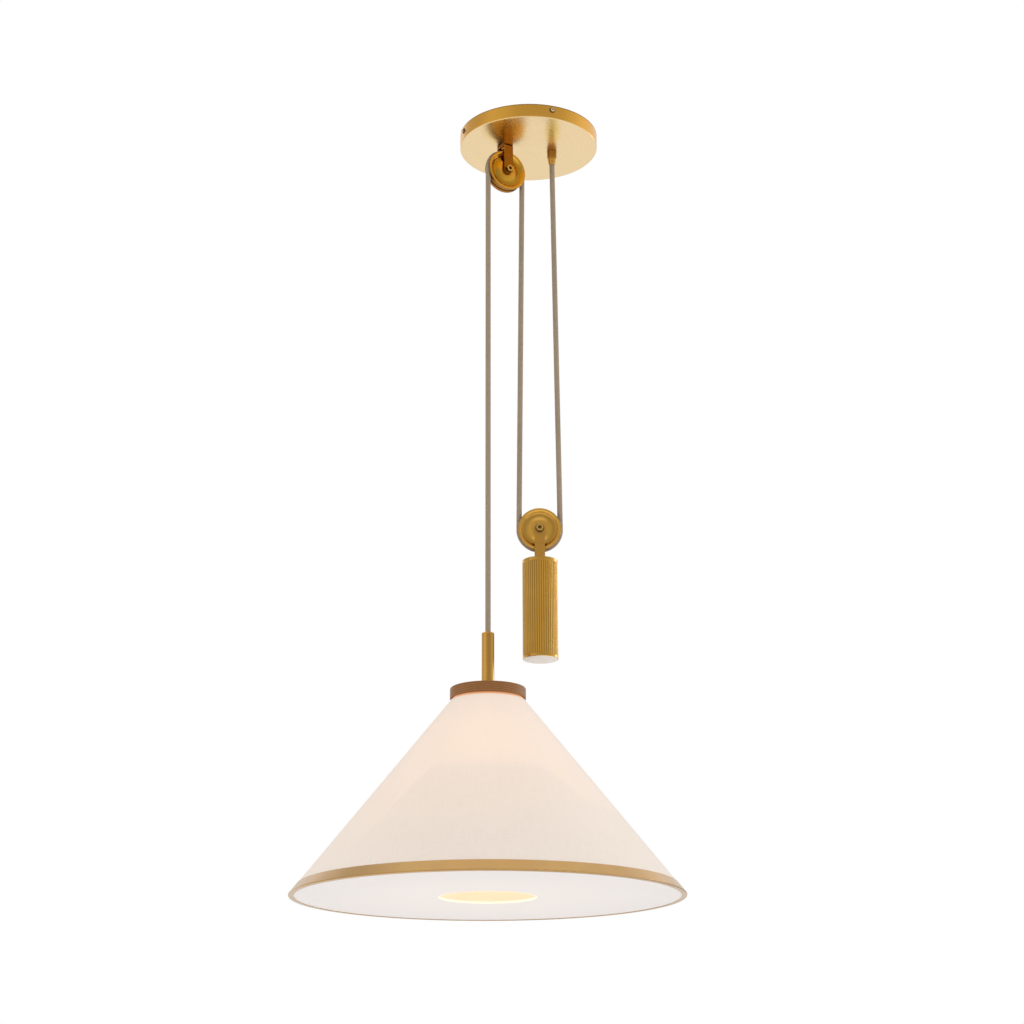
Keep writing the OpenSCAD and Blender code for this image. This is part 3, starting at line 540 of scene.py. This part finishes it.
def outlet_finish(tree, marks, colour):
    """Painted light on the tip and painted shade on the collar above it."""
    height = split(tree, object_place(tree))[2]
    return blend_colours(tree, ease(tree, height, *OUTLET_TIP_LIGHT), colour, LIT_TIP_TONE)


def finish_node(node, material):
    """Gives a CAD node its finish."""
    slots = NODES[node].data.materials
    slots.clear()
    slots.append(material)


ZINC_TONE = (0.60, 0.61, 0.62)


def zinc_plate(name):
    """Zinc-plated steel, with the faint crystals of the plating."""
    material, tree, shader = new_material(name, metallic=1.0)
    place = part_place(tree)
    crystals = put(tree, "TexVoronoi", {"Vector": place, "Scale": 260.0}, feature="F1").outputs["Color"]
    grain = split(tree, crystals)[0]
    stain = noise(tree, place, 30.0, 4.0)
    value = maths(tree, "ADD", remap(tree, grain, 0.0, 1.0, 0.9, 1.06), vary(tree, stain, -0.08, 0.04))
    feed(tree, shader, base_color=tint(tree, ZINC_TONE, value),
         roughness=remap(tree, grain, 0.0, 1.0, 0.3, 0.44), normal=raised(tree, grain, 0.00001, 0.2))
    return material


def moulded(name, tone, roughness, speck=0.06, coat=0.0):
    """Moulded plastic: a fine orange peel and faint cloudy patches."""
    material, tree, shader = new_material(name, coat_weight=coat)
    place = part_place(tree)
    peel = noise(tree, place, 900.0, 2.0)
    cloud = noise(tree, place, 45.0, 3.0)
    feed(tree, shader, base_color=tint(tree, tone, vary(tree, cloud, 1 - speck, 1 + speck)),
         roughness=vary(tree, cloud, roughness - 0.04, roughness + 0.06),
         normal=raised(tree, peel, 0.00002, 0.3))
    return material


# ---------- braided cord finish ----------

def make_braid():
    """Two families of yarn crossing round a cord. U runs along it in metres, V once round it."""
    group, given, result = new_group(
        "braid",
        [("Along", "Float", 0.0), ("Around", "Float", 0.0), ("Yarns", "Float", 12.0),
         ("Pitch", "Float", 0.0036)],
        [("Height", "Float"), ("Tone", "Float"), ("Gap", "Float")])
    round_it = times(group, given["Around"], given["Yarns"])
    along = maths(group, "DIVIDE", given["Along"], given["Pitch"])
    left, right = maths(group, "ADD", round_it, along), maths(group, "SUBTRACT", round_it, along)
    left_in, right_in = maths(group, "FRACT", left), maths(group, "FRACT", right)
    over = maths(group, "MODULO", maths(group, "ADD", maths(group, "FLOOR", left),
                                        maths(group, "ADD", maths(group, "FLOOR", right), 4096.0)), 2.0)

    def crown(value):
        return maths(group, "SINE", times(group, value, math.pi))

    left_high = times(group, maths(group, "POWER", crown(left_in), 0.5),
                      maths(group, "MULTIPLY_ADD", crown(right_in), 0.45, 0.55))
    right_high = times(group, maths(group, "POWER", crown(right_in), 0.5),
                       maths(group, "MULTIPLY_ADD", crown(left_in), 0.45, 0.55))
    height = put(group, "Mix", {0: over, 2: left_high, 3: right_high}).outputs[0]
    group.links.new(height, result["Height"])
    yarn = join(group, maths(group, "FLOOR", left), maths(group, "FLOOR", right), over)
    group.links.new(put(group, "TexWhiteNoise", {0: yarn}).outputs["Value"], result["Tone"])
    group.links.new(ease(group, height, 0.15, 0.6), result["Gap"])
    return group


BRAID = make_braid()
YARN_TONE, YARN_GAP_TONE = (0.352, 0.27, 0.187), (0.155, 0.112, 0.073)


def cord_cover():
    """Matt taupe braid, darker between the yarns, with a little soil."""
    material, tree, shader = new_material("cord_braid", sheen_weight=0.2, sheen_roughness=0.5)
    uv = split(tree, cloth_place(tree))
    marks = use(tree, BRAID, Along=uv[0], Around=uv[1])
    soil = noise(tree, part_place(tree), 14.0, 3.0)
    colour = blend_colours(tree, marks["Gap"], YARN_GAP_TONE, YARN_TONE)
    colour = tint(tree, colour, remap(tree, marks["Tone"], 0.0, 1.0, 0.93, 1.07))
    colour = tint(tree, colour, vary(tree, soil, 0.94, 1.05))
    feed(tree, shader, base_color=colour, roughness=remap(tree, marks["Height"], 0.0, 1.0, 0.92, 0.74),
         normal=raised(tree, marks["Height"], 0.00025, 0.6))
    return material


cord_material = cord_cover()
for cord in (cord_loop, cord_drop):
    cord.data.materials.append(cord_material)
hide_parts("cord_canopy_end", "cord_feed", "cord_under_pulley", "cord_middle", "cord_over_pulley")
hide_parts("cord_drop", "cord_stem_end")
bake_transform(cord_loop)
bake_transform(cord_drop)


# ---------- shade ----------

FABRIC_T = 0.0008
SHADE_STEPS = 256
SHADE_ROWS = 24

cone_low, cone_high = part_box("shade_cone")
mouth_r = (cone_high.x - cone_low.x) / 2


def cone_top_radius():
    """Outer radius at the cone's upper edge."""
    ring = [v.co for v in NODES["shade_cone"].data.vertices if v.co.z > cone_high.z - 0.0002]
    return max(math.hypot(p.x - SHADE.x, p.y - SHADE.y) for p in ring)


top_r = cone_top_radius()
slant = math.hypot(mouth_r - top_r, cone_high.z - cone_low.z)
apex_share = (mouth_r - top_r) / slant


def turn_from_seam(place):
    """Angle round the shade, from -pi to pi, with the seam at the back and 0 at the front."""
    return math.atan2(place.x - SHADE.x, -(place.y - SHADE.y))


def linen_cone():
    """One turn of cloth on a stiff backing. Its UV map is the flat cut, a sector, in metres."""
    bm = bmesh.new()
    edge = [bm.verts.new((SHADE.x, SHADE.y + top_r + (mouth_r - top_r) * i / SHADE_ROWS,
                          cone_high.z + (cone_low.z - cone_high.z) * i / SHADE_ROWS))
            for i in range(SHADE_ROWS + 1)]
    lines = [bm.edges.new(pair) for pair in zip(edge, edge[1:])]
    bmesh.ops.spin(bm, geom=edge + lines, cent=(SHADE.x, SHADE.y, 0), axis=(0, 0, 1),
                   angle=2 * math.pi, steps=SHADE_STEPS, use_merge=True)
    bmesh.ops.remove_doubles(bm, verts=bm.verts, dist=1e-6)
    bmesh.ops.recalc_face_normals(bm, faces=bm.faces)
    outward = next(iter(bm.faces))
    if outward.normal.dot(outward.calc_center_median() - SHADE) < 0:
        bmesh.ops.reverse_faces(bm, faces=bm.faces)
    flat = bm.loops.layers.uv.new("UVMap")
    for face in bm.faces:
        face.smooth = True
        middle_turn = turn_from_seam(face.calc_center_median())
        for loop in face.loops:
            turn = turn_from_seam(loop.vert.co)
            if turn - middle_turn > math.pi:
                turn -= 2 * math.pi
            elif middle_turn - turn > math.pi:
                turn += 2 * math.pi
            reach = math.hypot(loop.vert.co.x - SHADE.x, loop.vert.co.y - SHADE.y) / apex_share
            loop[flat].uv = (reach * math.sin(turn * apex_share), reach * math.cos(turn * apex_share))
    return bm


def make_weave():
    """Plain woven linen with uneven yarns. Vector is in metres on the flat cloth."""
    group, given, result = new_group(
        "linen_weave", [("Vector", "Vector", None), ("Yarns", "Float", 1600.0)],
        [("Height", "Float"), ("Slub", "Float"), ("Tone", "Float")])
    axes = split(group, given["Vector"])
    waves = []
    for run, cross in ((0, 1), (1, 0)):
        drift = join(group, times(group, axes[run], 60.0), times(group, axes[cross], 500.0), 0.0)
        wander = noise(group, drift, 1.0, 2.0)
        yarn = maths(group, "ADD", times(group, axes[cross], given["Yarns"]), wander)
        waves.append((times(group, yarn, math.pi), wander))
    profile = [maths(group, "ABSOLUTE", maths(group, "SINE", wave[0])) for wave in waves]
    over = times(group, maths(group, "SINE", waves[0][0]), maths(group, "SINE", waves[1][0]))
    height = maths(group, "ADD", maths(group, "MAXIMUM", profile[0], profile[1]), times(group, over, 0.35))
    group.links.new(height, result["Height"])
    slubs = []
    for run, cross in ((0, 1), (1, 0)):
        place = join(group, times(group, axes[run], 22.0), times(group, axes[cross], 900.0), float(run))
        slubs.append(ease(group, noise(group, place, 1.0, 2.0, 0.6), 0.58, 0.78))
    group.links.new(maths(group, "MAXIMUM", slubs[0], slubs[1]), result["Slub"])
    tone = maths(group, "ADD", waves[0][1], waves[1][1])
    group.links.new(times(group, tone, 0.5), result["Tone"])
    return group


WEAVE = make_weave()

LAMP_CUT, CUT_SOFTNESS = -0.943, 0.009   # height and softness of the edge of the holder's shadow
LEFT_FALL, RIGHT_FALL = 0.13, 0.05       # how far that edge falls at either side
GLOW_FULL, GLOW_FADES = -0.90, -0.888    # heights between which the cloth is brightest


def make_glow():
    """Lamplight through the cloth: brightest level with the lamp, with a soft shadow below an arch."""
    group, given, result = new_group(
        "lamp_glow", [("Place", "Vector", None)], [("Glow", "Float"), ("Arch", "Float")])
    axes = split(group, given["Place"])
    flat = join(group, axes[0], axes[1], 0.0)
    aside = split(group, vector_maths(group, "NORMALIZE", flat))[0]
    up = ease(group, axes[2], cone_low.z, GLOW_FULL)
    below_cap = remap(group, axes[2], GLOW_FADES, cone_high.z, 1.0, 0.55, True)
    group.links.new(times(group, up, below_cap), result["Glow"])
    fall = maths(group, "ADD", remap(group, aside, -0.48, -0.85, 0.0, LEFT_FALL, True),
                 remap(group, aside, 0.48, 0.8, 0.0, RIGHT_FALL, True))
    above = maths(group, "ADD", axes[2], fall)
    group.links.new(ease(group, above, LAMP_CUT - CUT_SOFTNESS, LAMP_CUT + CUT_SOFTNESS), result["Arch"])
    return group


GLOW = make_glow()
LIP = (foot("shade_cap") - 0.0045, foot("shade_cap") - 0.0012)   # heights at which light leaks out under the cap
LINEN_TONE, SLUB_TONE, LIP_TONE = (0.87, 0.775, 0.69), (0.81, 0.71, 0.62), (0.50, 0.28, 0.14)
LINEN_DIM, LINEN_LIT, LIP_LIT = (0.06, 0.028, 0.010), (0.25, 0.115, 0.042), (0.46, 0.18, 0.055)
LINING_TONE, LINING_DIM, LINING_LIT = (0.86, 0.82, 0.74), (0.33, 0.235, 0.165), (0.53, 0.36, 0.25)


def linen():
    """Off-white linen, lit from inside, with an orange line of light under the wooden cap."""
    material, tree, shader = new_material("shade_linen", roughness=0.9, sheen_weight=0.15, sheen_roughness=0.6,
                                          emission_strength=1.0)
    marks = use(tree, WEAVE, Vector=cloth_place(tree))
    place = part_place(tree, (SHADE.x, SHADE.y, 0))
    glow = use(tree, GLOW, Place=place)
    colour = blend_colours(tree, marks["Slub"], LINEN_TONE, SLUB_TONE)
    colour = tint(tree, colour, vary(tree, marks["Tone"], 0.975, 1.025))
    through = put(tree, "LayerWeight", {"Blend": 0.5}).outputs["Facing"]
    strength = times(tree, remap(tree, through, 0.1, 0.95, 1.0, 0.25),
                     remap(tree, glow["Arch"], 0.0, 1.0, 0.62, 1.0))
    light = tint(tree, blend_colours(tree, glow["Glow"], LINEN_DIM, LINEN_LIT), strength)
    lip = ease(tree, split(tree, place)[2], *LIP)
    light = blend_colours(tree, lip, light, LIP_LIT)
    colour = blend_colours(tree, lip, colour, LIP_TONE)
    feed(tree, shader, base_color=colour, emission_color=light,
         normal=raised(tree, maths(tree, "MULTIPLY_ADD", marks["Slub"], 0.8, marks["Height"]), 0.0001, 0.45))
    return material


def lining():
    """White backing of the cloth, lit by the lamp."""
    material, tree, shader = new_material("shade_lining", roughness=0.55, emission_strength=1.0)
    cloth = cloth_place(tree)
    cloud = noise(tree, cloth, 30.0, 3.0)
    glow = use(tree, GLOW, Place=part_place(tree, (SHADE.x, SHADE.y, 0)))
    light = blend_colours(tree, glow["Glow"], LINING_DIM, LINING_LIT)
    feed(tree, shader, base_color=tint(tree, LINING_TONE, vary(tree, cloud, 0.97, 1.02)),
         emission_color=light, normal=raised(tree, noise(tree, cloth, 1400.0, 2.0), 0.00004, 0.3))
    return material


shade_cloth = piece_from_bmesh(linen_cone(), "shade_cloth", linen(), lining())
wall = shade_cloth.modifiers.new("backing", "SOLIDIFY")
wall.thickness = FABRIC_T
wall.offset = -1
wall.material_offset = 1
wall.material_offset_rim = 0
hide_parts("shade_cone")
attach(shade_cloth, "shade")


# ---------- wooden cap ----------

def stretched(tree, axes, along, across):
    """A place drawn out along X, for grain that runs that way."""
    return join(tree, times(tree, axes[0], along), times(tree, axes[1], across), times(tree, axes[2], across))


EARLY_WOOD, LATE_WOOD, PORES = (0.300, 0.130, 0.036), (0.215, 0.088, 0.024), (0.13, 0.062, 0.028)
RINGS_PER_M = 2100.0    # radians of a growth ring's wave in a metre of height


def cap_wood():
    """A disc turned from a board, its straight grain along X."""
    material, tree, shader = new_material("cap_wood", coat_weight=0.05, coat_roughness=0.3, sheen_weight=0.08,
                                          sheen_roughness=0.35, specular_ior_level=0.32)
    place = part_place(tree, (SHADE.x, SHADE.y, middle("shade_cap").z))
    axes = split(tree, place)
    drift = noise(tree, stretched(tree, axes, 4.0, 22.0), 1.0, 2.0)
    bend = maths(tree, "ADD", times(tree, axes[1], 60.0), times(tree, drift, 12.0))
    rings = maths(tree, "SINE", maths(tree, "ADD", times(tree, axes[2], RINGS_PER_M), bend))
    fibre = noise(tree, stretched(tree, axes, 25.0, 1100.0), 1.0, 3.0, 0.6)
    flecks = noise(tree, stretched(tree, axes, 90.0, 2200.0), 1.0, 1.0)
    pores = ease(tree, flecks, 0.62, 0.72)
    colour = blend_colours(tree, ease(tree, rings, -1.0, 1.0), EARLY_WOOD, LATE_WOOD)
    colour = tint(tree, colour, vary(tree, fibre, 0.88, 1.10))
    colour = blend_colours(tree, times(tree, pores, 0.4), colour, PORES)
    feed(tree, shader, base_color=colour, roughness=vary(tree, fibre, 0.42, 0.56),
         normal=raised(tree, maths(tree, "SUBTRACT", fibre, pores), 0.00005, 0.4))
    return material


# ---------- lamp, holder and diffuser ----------

SHEET_NEAR_LAMP, SHEET_HOLE = (0.25, 0.06), (0.0640, 0.0622)   # radii at which the sheet turns brighter
SHEET_TONE, SHEET_DIM = (0.83, 0.80, 0.78), (0.165, 0.138, 0.128)
SHEET_LIT, HOLE_LIT = (0.21, 0.172, 0.152), (0.55, 0.44, 0.27)
LAMP_TONE, LAMP_DIM, LAMP_LIT = (0.34, 0.32, 0.28), (0.62, 0.36, 0.14), (0.92, 0.79, 0.56)
LAMP_HEART = (0.04, -0.01)      # heights from its middle between which it turns brighter


def opal_sheet():
    """Satin opal acrylic, a little brighter round the hole where the lamp is near."""
    material, tree, shader = new_material("opal_sheet", emission_strength=1.0)
    place = part_place(tree, (SHADE.x, SHADE.y, 0))
    axes = split(tree, place)
    flat = join(tree, axes[0], axes[1], 0.0)
    radius = vector_maths(tree, "LENGTH", flat)
    near = ease(tree, radius, *SHEET_NEAR_LAMP)
    edge = ease(tree, radius, *SHEET_HOLE)
    light = blend_colours(tree, near, SHEET_DIM, SHEET_LIT)
    light = blend_colours(tree, edge, light, HOLE_LIT)
    cloud = noise(tree, place, 8.0, 3.0)
    scratch = noise(tree, place, 700.0, 2.0)
    feed(tree, shader, base_color=tint(tree, SHEET_TONE, vary(tree, cloud, 0.985, 1.015)),
         roughness=vary(tree, scratch, 0.34, 0.46), emission_color=light,
         normal=raised(tree, scratch, 0.00001, 0.2))
    return material


def frosted_lamp():
    """Frosted glass round a warm light: brightest at its middle, dimmer where the glass turns away."""
    material, tree, shader = new_material("frosted_lamp", roughness=0.35, emission_strength=1.0)
    place = part_place(tree, (SHADE.x, SHADE.y, middle("lamp_bulb").z))
    frost = noise(tree, place, 1200.0, 2.0)
    heart = remap(tree, split(tree, place)[2], *LAMP_HEART, 0.4, 1.0, True)
    away = remap(tree, put(tree, "LayerWeight", {"Blend": 0.5}).outputs["Facing"], 0.35, 0.95, 1.0, 0.78)
    light = blend_colours(tree, times(tree, heart, away), LAMP_DIM, LAMP_LIT)
    feed(tree, shader, base_color=tint(tree, LAMP_TONE, vary(tree, frost, 0.94, 1.0)),
         emission_color=light, normal=raised(tree, frost, 0.00002, 0.2))
    return material


ENAMEL_TONE = (0.99, 0.95, 0.88)


def white_enamel(name):
    """Pale painted metal, with faint clouding."""
    material, tree, shader = new_material(name, coat_weight=0.6, coat_roughness=0.2)
    place = part_place(tree)
    cloud = noise(tree, place, 60.0, 3.0)
    feed(tree, shader, base_color=tint(tree, ENAMEL_TONE, vary(tree, cloud, 0.97, 1.02)),
         roughness=vary(tree, cloud, 0.38, 0.5), normal=raised(tree, noise(tree, place, 700.0), 0.00002, 0.2))
    return material


# ---------- finishes on the carried-over nodes ----------

zinc = zinc_plate("zinc_plate")
nylon = moulded("natural_nylon", (0.74, 0.72, 0.66), 0.45)
black_phenolic = moulded("dark_phenolic", (0.022, 0.019, 0.017), 0.32, 0.2, 0.4)
upper_axis = across_upper.cross(Vector(UP))
plain_brass = brass("small_brass", SCREW_TONE, roughness=0.25, stretch=0.0)
screw_brass = brass("rim_screw_brass", SCREW_TONE, roughness=0.22, stretch=0.0, finish=rim_screw_finish)
upper_brass = brass("upper_pulley_brass", PULLEY_TONE, UPPER, upper_axis, lacquer=0.12, dark=0.2, patchy=0.25,
                    relief=0.000002, finish=dished(1.0))
lower_brass = brass("lower_pulley_brass", PULLEY_TONE, LOWER, FORWARD, lacquer=0.4, dark=0.25, patchy=0.25,
                    relief=0.000002, finish=dished(0.75))
upper_axle_brass = brass("upper_axle_brass", PULLEY_TONE, UPPER, upper_axis, stretch=0.0, lacquer=0.1,
                         finish=axle_finish(upper_axis))
lower_axle_brass = brass("lower_axle_brass", PULLEY_TONE, LOWER, FORWARD, stretch=0.0, lacquer=0.1,
                         finish=axle_finish(FORWARD))
# The upper strap in a darker tone than the lower one: painted shade.
shaded_upper_strap = brass("upper_strap_shaded_brass", SHADED_UPPER_STRAP_TONE, UPPER, roughness=0.36, lines=500.0, lacquer=0.08,
                    dark=0.25)
lower_strap = brass("lower_strap_brass", LOWER_STRAP_TONE, LOWER, roughness=0.34, lines=500.0, lacquer=0.4,
                    dark=0.5)
weight_place = (WEIGHT.x, WEIGHT.y, 0)
weight_brass = brass("weight_brass", WEIGHT_TONE, weight_place, roughness=0.25, lacquer=1.0, index=1.6,
                     gloss=0.3)
reed_brass = brass("reed_brass", WEIGHT_TONE, weight_place, roughness=0.30, lines=0.0, round_it=50.0,
                   stretch=0.0, lacquer=1.0, index=1.6, dark=0.3, finish=reed_valley_shade)
stem_brass = brass("stem_brass", STEM_TONE, (STEM.x, STEM.y, 0), roughness=0.26, lacquer=1.0, index=1.6,
                   gloss=0.3, finish=drawn)
band_brass = brass("band_brass", BAND_TONE, (SHADE.x, SHADE.y, 0), roughness=0.34, lines=1200.0)
outlet_brass = brass("outlet_brass", SHADED_COLLAR_TONE, (OUTLET.x, OUTLET.y, 0), roughness=0.28, lacquer=0.2,
                     finish=outlet_finish)
cup_brass = brass("canopy_brass", CUP_TONE, lines=1100.0, stretch=0.2, lacquer=0.18, gloss=0.3, edge_r=0.001,
                  patchy=0.2, relief=0.0000012, finish=cup_finish)

FINISHES = {
    "mounting_plate": zinc, "mounting_tabs": zinc, "cord_outlet_nut": zinc, "upper_bracket_nut": zinc,
    "cord_clamp_screws": zinc, "threaded_nipple": zinc, "shade_carrier": zinc, "nipple_washer": zinc,
    "nipple_nut": zinc, "shade_bottom_ring": zinc, "weight_core": zinc, "lamp_base": zinc,
    "ground_screw": plain_brass, "terminal_screws": plain_brass, "canopy_rim_screws": screw_brass,
    "upper_bracket_screw": plain_brass, "weight_bracket_screw": plain_brass, "lampholder_shell": plain_brass,
    "canopy_cup": cup_brass, "cord_outlet": outlet_brass,
    "upper_bracket": shaded_upper_strap, "weight_bracket": lower_strap,
    "upper_axle": upper_axle_brass, "upper_axle_washers": upper_axle_brass, "upper_axle_nut": upper_axle_brass,
    "upper_pulley": upper_brass,
    "lower_axle": lower_axle_brass, "lower_axle_washers": lower_axle_brass, "lower_axle_nut": lower_axle_brass,
    "lower_pulley": lower_brass,
    "weight_top_cap": weight_brass, "weight_sleeve": reed_brass, "weight_base_cap": weight_brass,
    "weight_base_pad": white_enamel("base_enamel"),
    "stem_cap": stem_brass, "stem_tube": stem_brass, "shade_band": band_brass,
    "terminal_block": nylon, "upper_spacers": nylon, "lower_spacers": nylon, "upper_pulley_bush": nylon,
    "lower_pulley_bush": nylon, "cord_clamp": nylon,
    "shade_cap": cap_wood(), "diffuser": opal_sheet(), "lamp_bulb": frosted_lamp(),
    "lampholder_cap": black_phenolic, "lampholder_body": black_phenolic,
}
for node, finish in FINISHES.items():
    finish_node(node, finish)


# ---------- wires inside the canopy ----------

WIRE_R = 0.001
WIRE_POINTS = 24
SHEATH_SPREAD, SCREW_PITCH = 0.0021, 0.010    # between the conductors at the sheath and at the block
BLOCK_ENTRY = Vector((0, 0.003, 0.004))       # into the block and above its foot
WIRE_TONES = {"wire_left": (0.16, 0.06, 0.025), "wire_middle": (0.03, 0.09, 0.32),
              "wire_right": (0.10, 0.30, 0.06)}


def canopy_wires():
    """The three conductors between the sheath's end and the terminal block."""
    block_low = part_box("terminal_block")[0]
    for (name, tone), way in zip(WIRE_TONES.items(), (-1, 0, 1)):
        start = sheath_end + Vector((way * SHEATH_SPREAD, 0, 0))
        end = Vector((middle("terminal_block").x + way * SCREW_PITCH, block_low.y, block_low.z)) + BLOCK_ENTRY
        rising, arriving = start + Vector((0, 0, 0.005)), end - Vector((0, 0.018, 0))
        route = []
        for i in range(WIRE_POINTS + 1):
            t = i / WIRE_POINTS
            route.append((1 - t) ** 3 * start + 3 * t * (1 - t) ** 2 * rising
                         + 3 * t * t * (1 - t) * arriving + t ** 3 * end)
        wire = piece_from(tube(name, route, WIRE_R, 3), name, moulded(name + "_cover", tone, 0.5, 0.08))
        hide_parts("cord_cores")
        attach(wire, "canopy")


canopy_wires()

# ---------- floor, light and background ----------

FLOOR_Z = -2.35
FLOOR_HALF = 9
FLOOR_TONE = (0.86, 0.855, 0.845)
FLOOR_LIFT = 0.36         # light of its own that only the camera sees, so that it stays pale far away


def pale_floor():
    """A wide pale floor. Neither metal nor a low view shows it, so that it never hides or greys the object."""
    bm = bmesh.new()
    bmesh.ops.create_grid(bm, x_segments=1, y_segments=1, size=FLOOR_HALF)
    bmesh.ops.translate(bm, vec=(0, 0, FLOOR_Z), verts=bm.verts)
    material, tree, shader = new_material("pale_floor", roughness=0.7, emission_strength=FLOOR_LIFT)
    cloud = noise(tree, part_place(tree), 1.5, 3.0)
    path = put(tree, "LightPath").outputs
    feed(tree, shader, base_color=tint(tree, FLOOR_TONE, vary(tree, cloud, 0.99, 1.01)),
         emission_color=tint(tree, (1, 1, 1), path["Is Camera Ray"]))
    clear = put(tree, "BsdfTransparent").outputs[0]
    unseen = maths(tree, "MAXIMUM", put(tree, "NewGeometry").outputs["Backfacing"], path["Is Glossy Ray"])
    mix = put(tree, "MixShader", {0: unseen, 1: shader.outputs[0], 2: clear})
    tree.links.new(mix.outputs[0], tree.nodes["Material Output"].inputs[0])
    piece_from_bmesh(bm, "floor", material)


pale_floor()


def soft_lamp(name, place, aim, size, power, tone=(1, 1, 1), mirrored=False):
    """A soft box. Metal mirrors it only if asked to, because the world already gives it what it mirrors."""
    data = bpy.data.lights.new(name, "AREA")
    data.shape = "RECTANGLE"
    data.size, data.size_y = size
    data.energy = power
    data.color = tone
    lamp = bpy.data.objects.new(name, data)
    lamp.location = place
    lamp.rotation_euler = (Vector(aim) - Vector(place)).to_track_quat("-Z", "Y").to_euler()
    lamp.visible_glossy = mirrored
    lamp.visible_camera = False
    SCENE.collection.objects.link(lamp)


LIT_PLACE = (0, 0, -0.7)
soft_lamp("left_box", (-2.6, -0.9, -0.4), LIT_PLACE, (1.2, 2.6), 28, (1.0, 0.98, 0.95))
soft_lamp("right_box", (2.4, -1.2, -0.5), LIT_PLACE, (1.2, 2.6), 29, (0.98, 0.99, 1.0))
soft_lamp("front_box", (0.3, -3.2, 0.8), LIT_PLACE, (1.8, 1.2), 8)
soft_lamp("edge_box", (1.75, 1.0, -0.18), (0, 0, -0.72), (0.6, 0.5), 2.6, mirrored=True)

# What metal mirrors all round the studio: degrees from the front, positive to the right, and how bright.
MIRRORED = ((-180, 0.82), (-165, 0.85), (-148, 1.0), (-122, 0.58), (-92, 0.55), (-64, 0.72), (-42, 0.65),
            (-15, 0.52), (28, 0.52), (56, 0.57), (78, 0.72), (105, 0.92), (145, 0.92), (165, 0.82), (180, 0.82))
MIRRORED_ABOVE, MIRRORED_BELOW = (0.72, 0.93), (-0.28, -0.39)    # how steep a look has to be to meet white
FILL_LIGHT = 0.62     # what lights rough surfaces from all round


def studio_world():
    """White to the camera. Metal mirrors a dimmer front, brighter sides and back, and white far up and down."""
    world = bpy.data.worlds.new("studio")
    SCENE.world = world
    world.use_nodes = True
    tree = world.node_tree
    shader = tree.nodes["Background"]
    path = put(tree, "LightPath").outputs
    seen = maths(tree, "MAXIMUM", path["Is Camera Ray"], path["Is Transmission Ray"])
    way = split(tree, put(tree, "TexCoord").outputs["Generated"])
    turn = maths(tree, "ARCTAN2", way[0], times(tree, way[1], -1.0))
    ramp = put(tree, "ValToRGB", {0: remap(tree, turn, -math.pi, math.pi, 0.0, 1.0)})
    stops = ramp.color_ramp.elements
    ramp.color_ramp.interpolation = "EASE"
    stops.remove(stops[0])
    for i, (degrees, value) in enumerate(MIRRORED):
        stop = stops[0] if i == 0 else stops.new(degrees / 360 + 0.5)
        stop.position = degrees / 360 + 0.5
        stop.color = (value, value, value, 1)
    steep = maths(tree, "MAXIMUM", ease(tree, way[2], *MIRRORED_ABOVE), ease(tree, way[2], *MIRRORED_BELOW))
    mirrored = put(tree, "Mix", {0: steep, 2: ramp.outputs["Color"], 3: 1.0}).outputs[0]
    value = put(tree, "Mix", {0: path["Is Glossy Ray"], 2: FILL_LIGHT, 3: mirrored}).outputs[0]
    value = put(tree, "Mix", {0: seen, 2: value, 3: 1.0}).outputs[0]
    tree.links.new(value, shader.inputs["Strength"])
    shader.inputs["Color"].default_value = (1, 1, 1, 1)


studio_world()
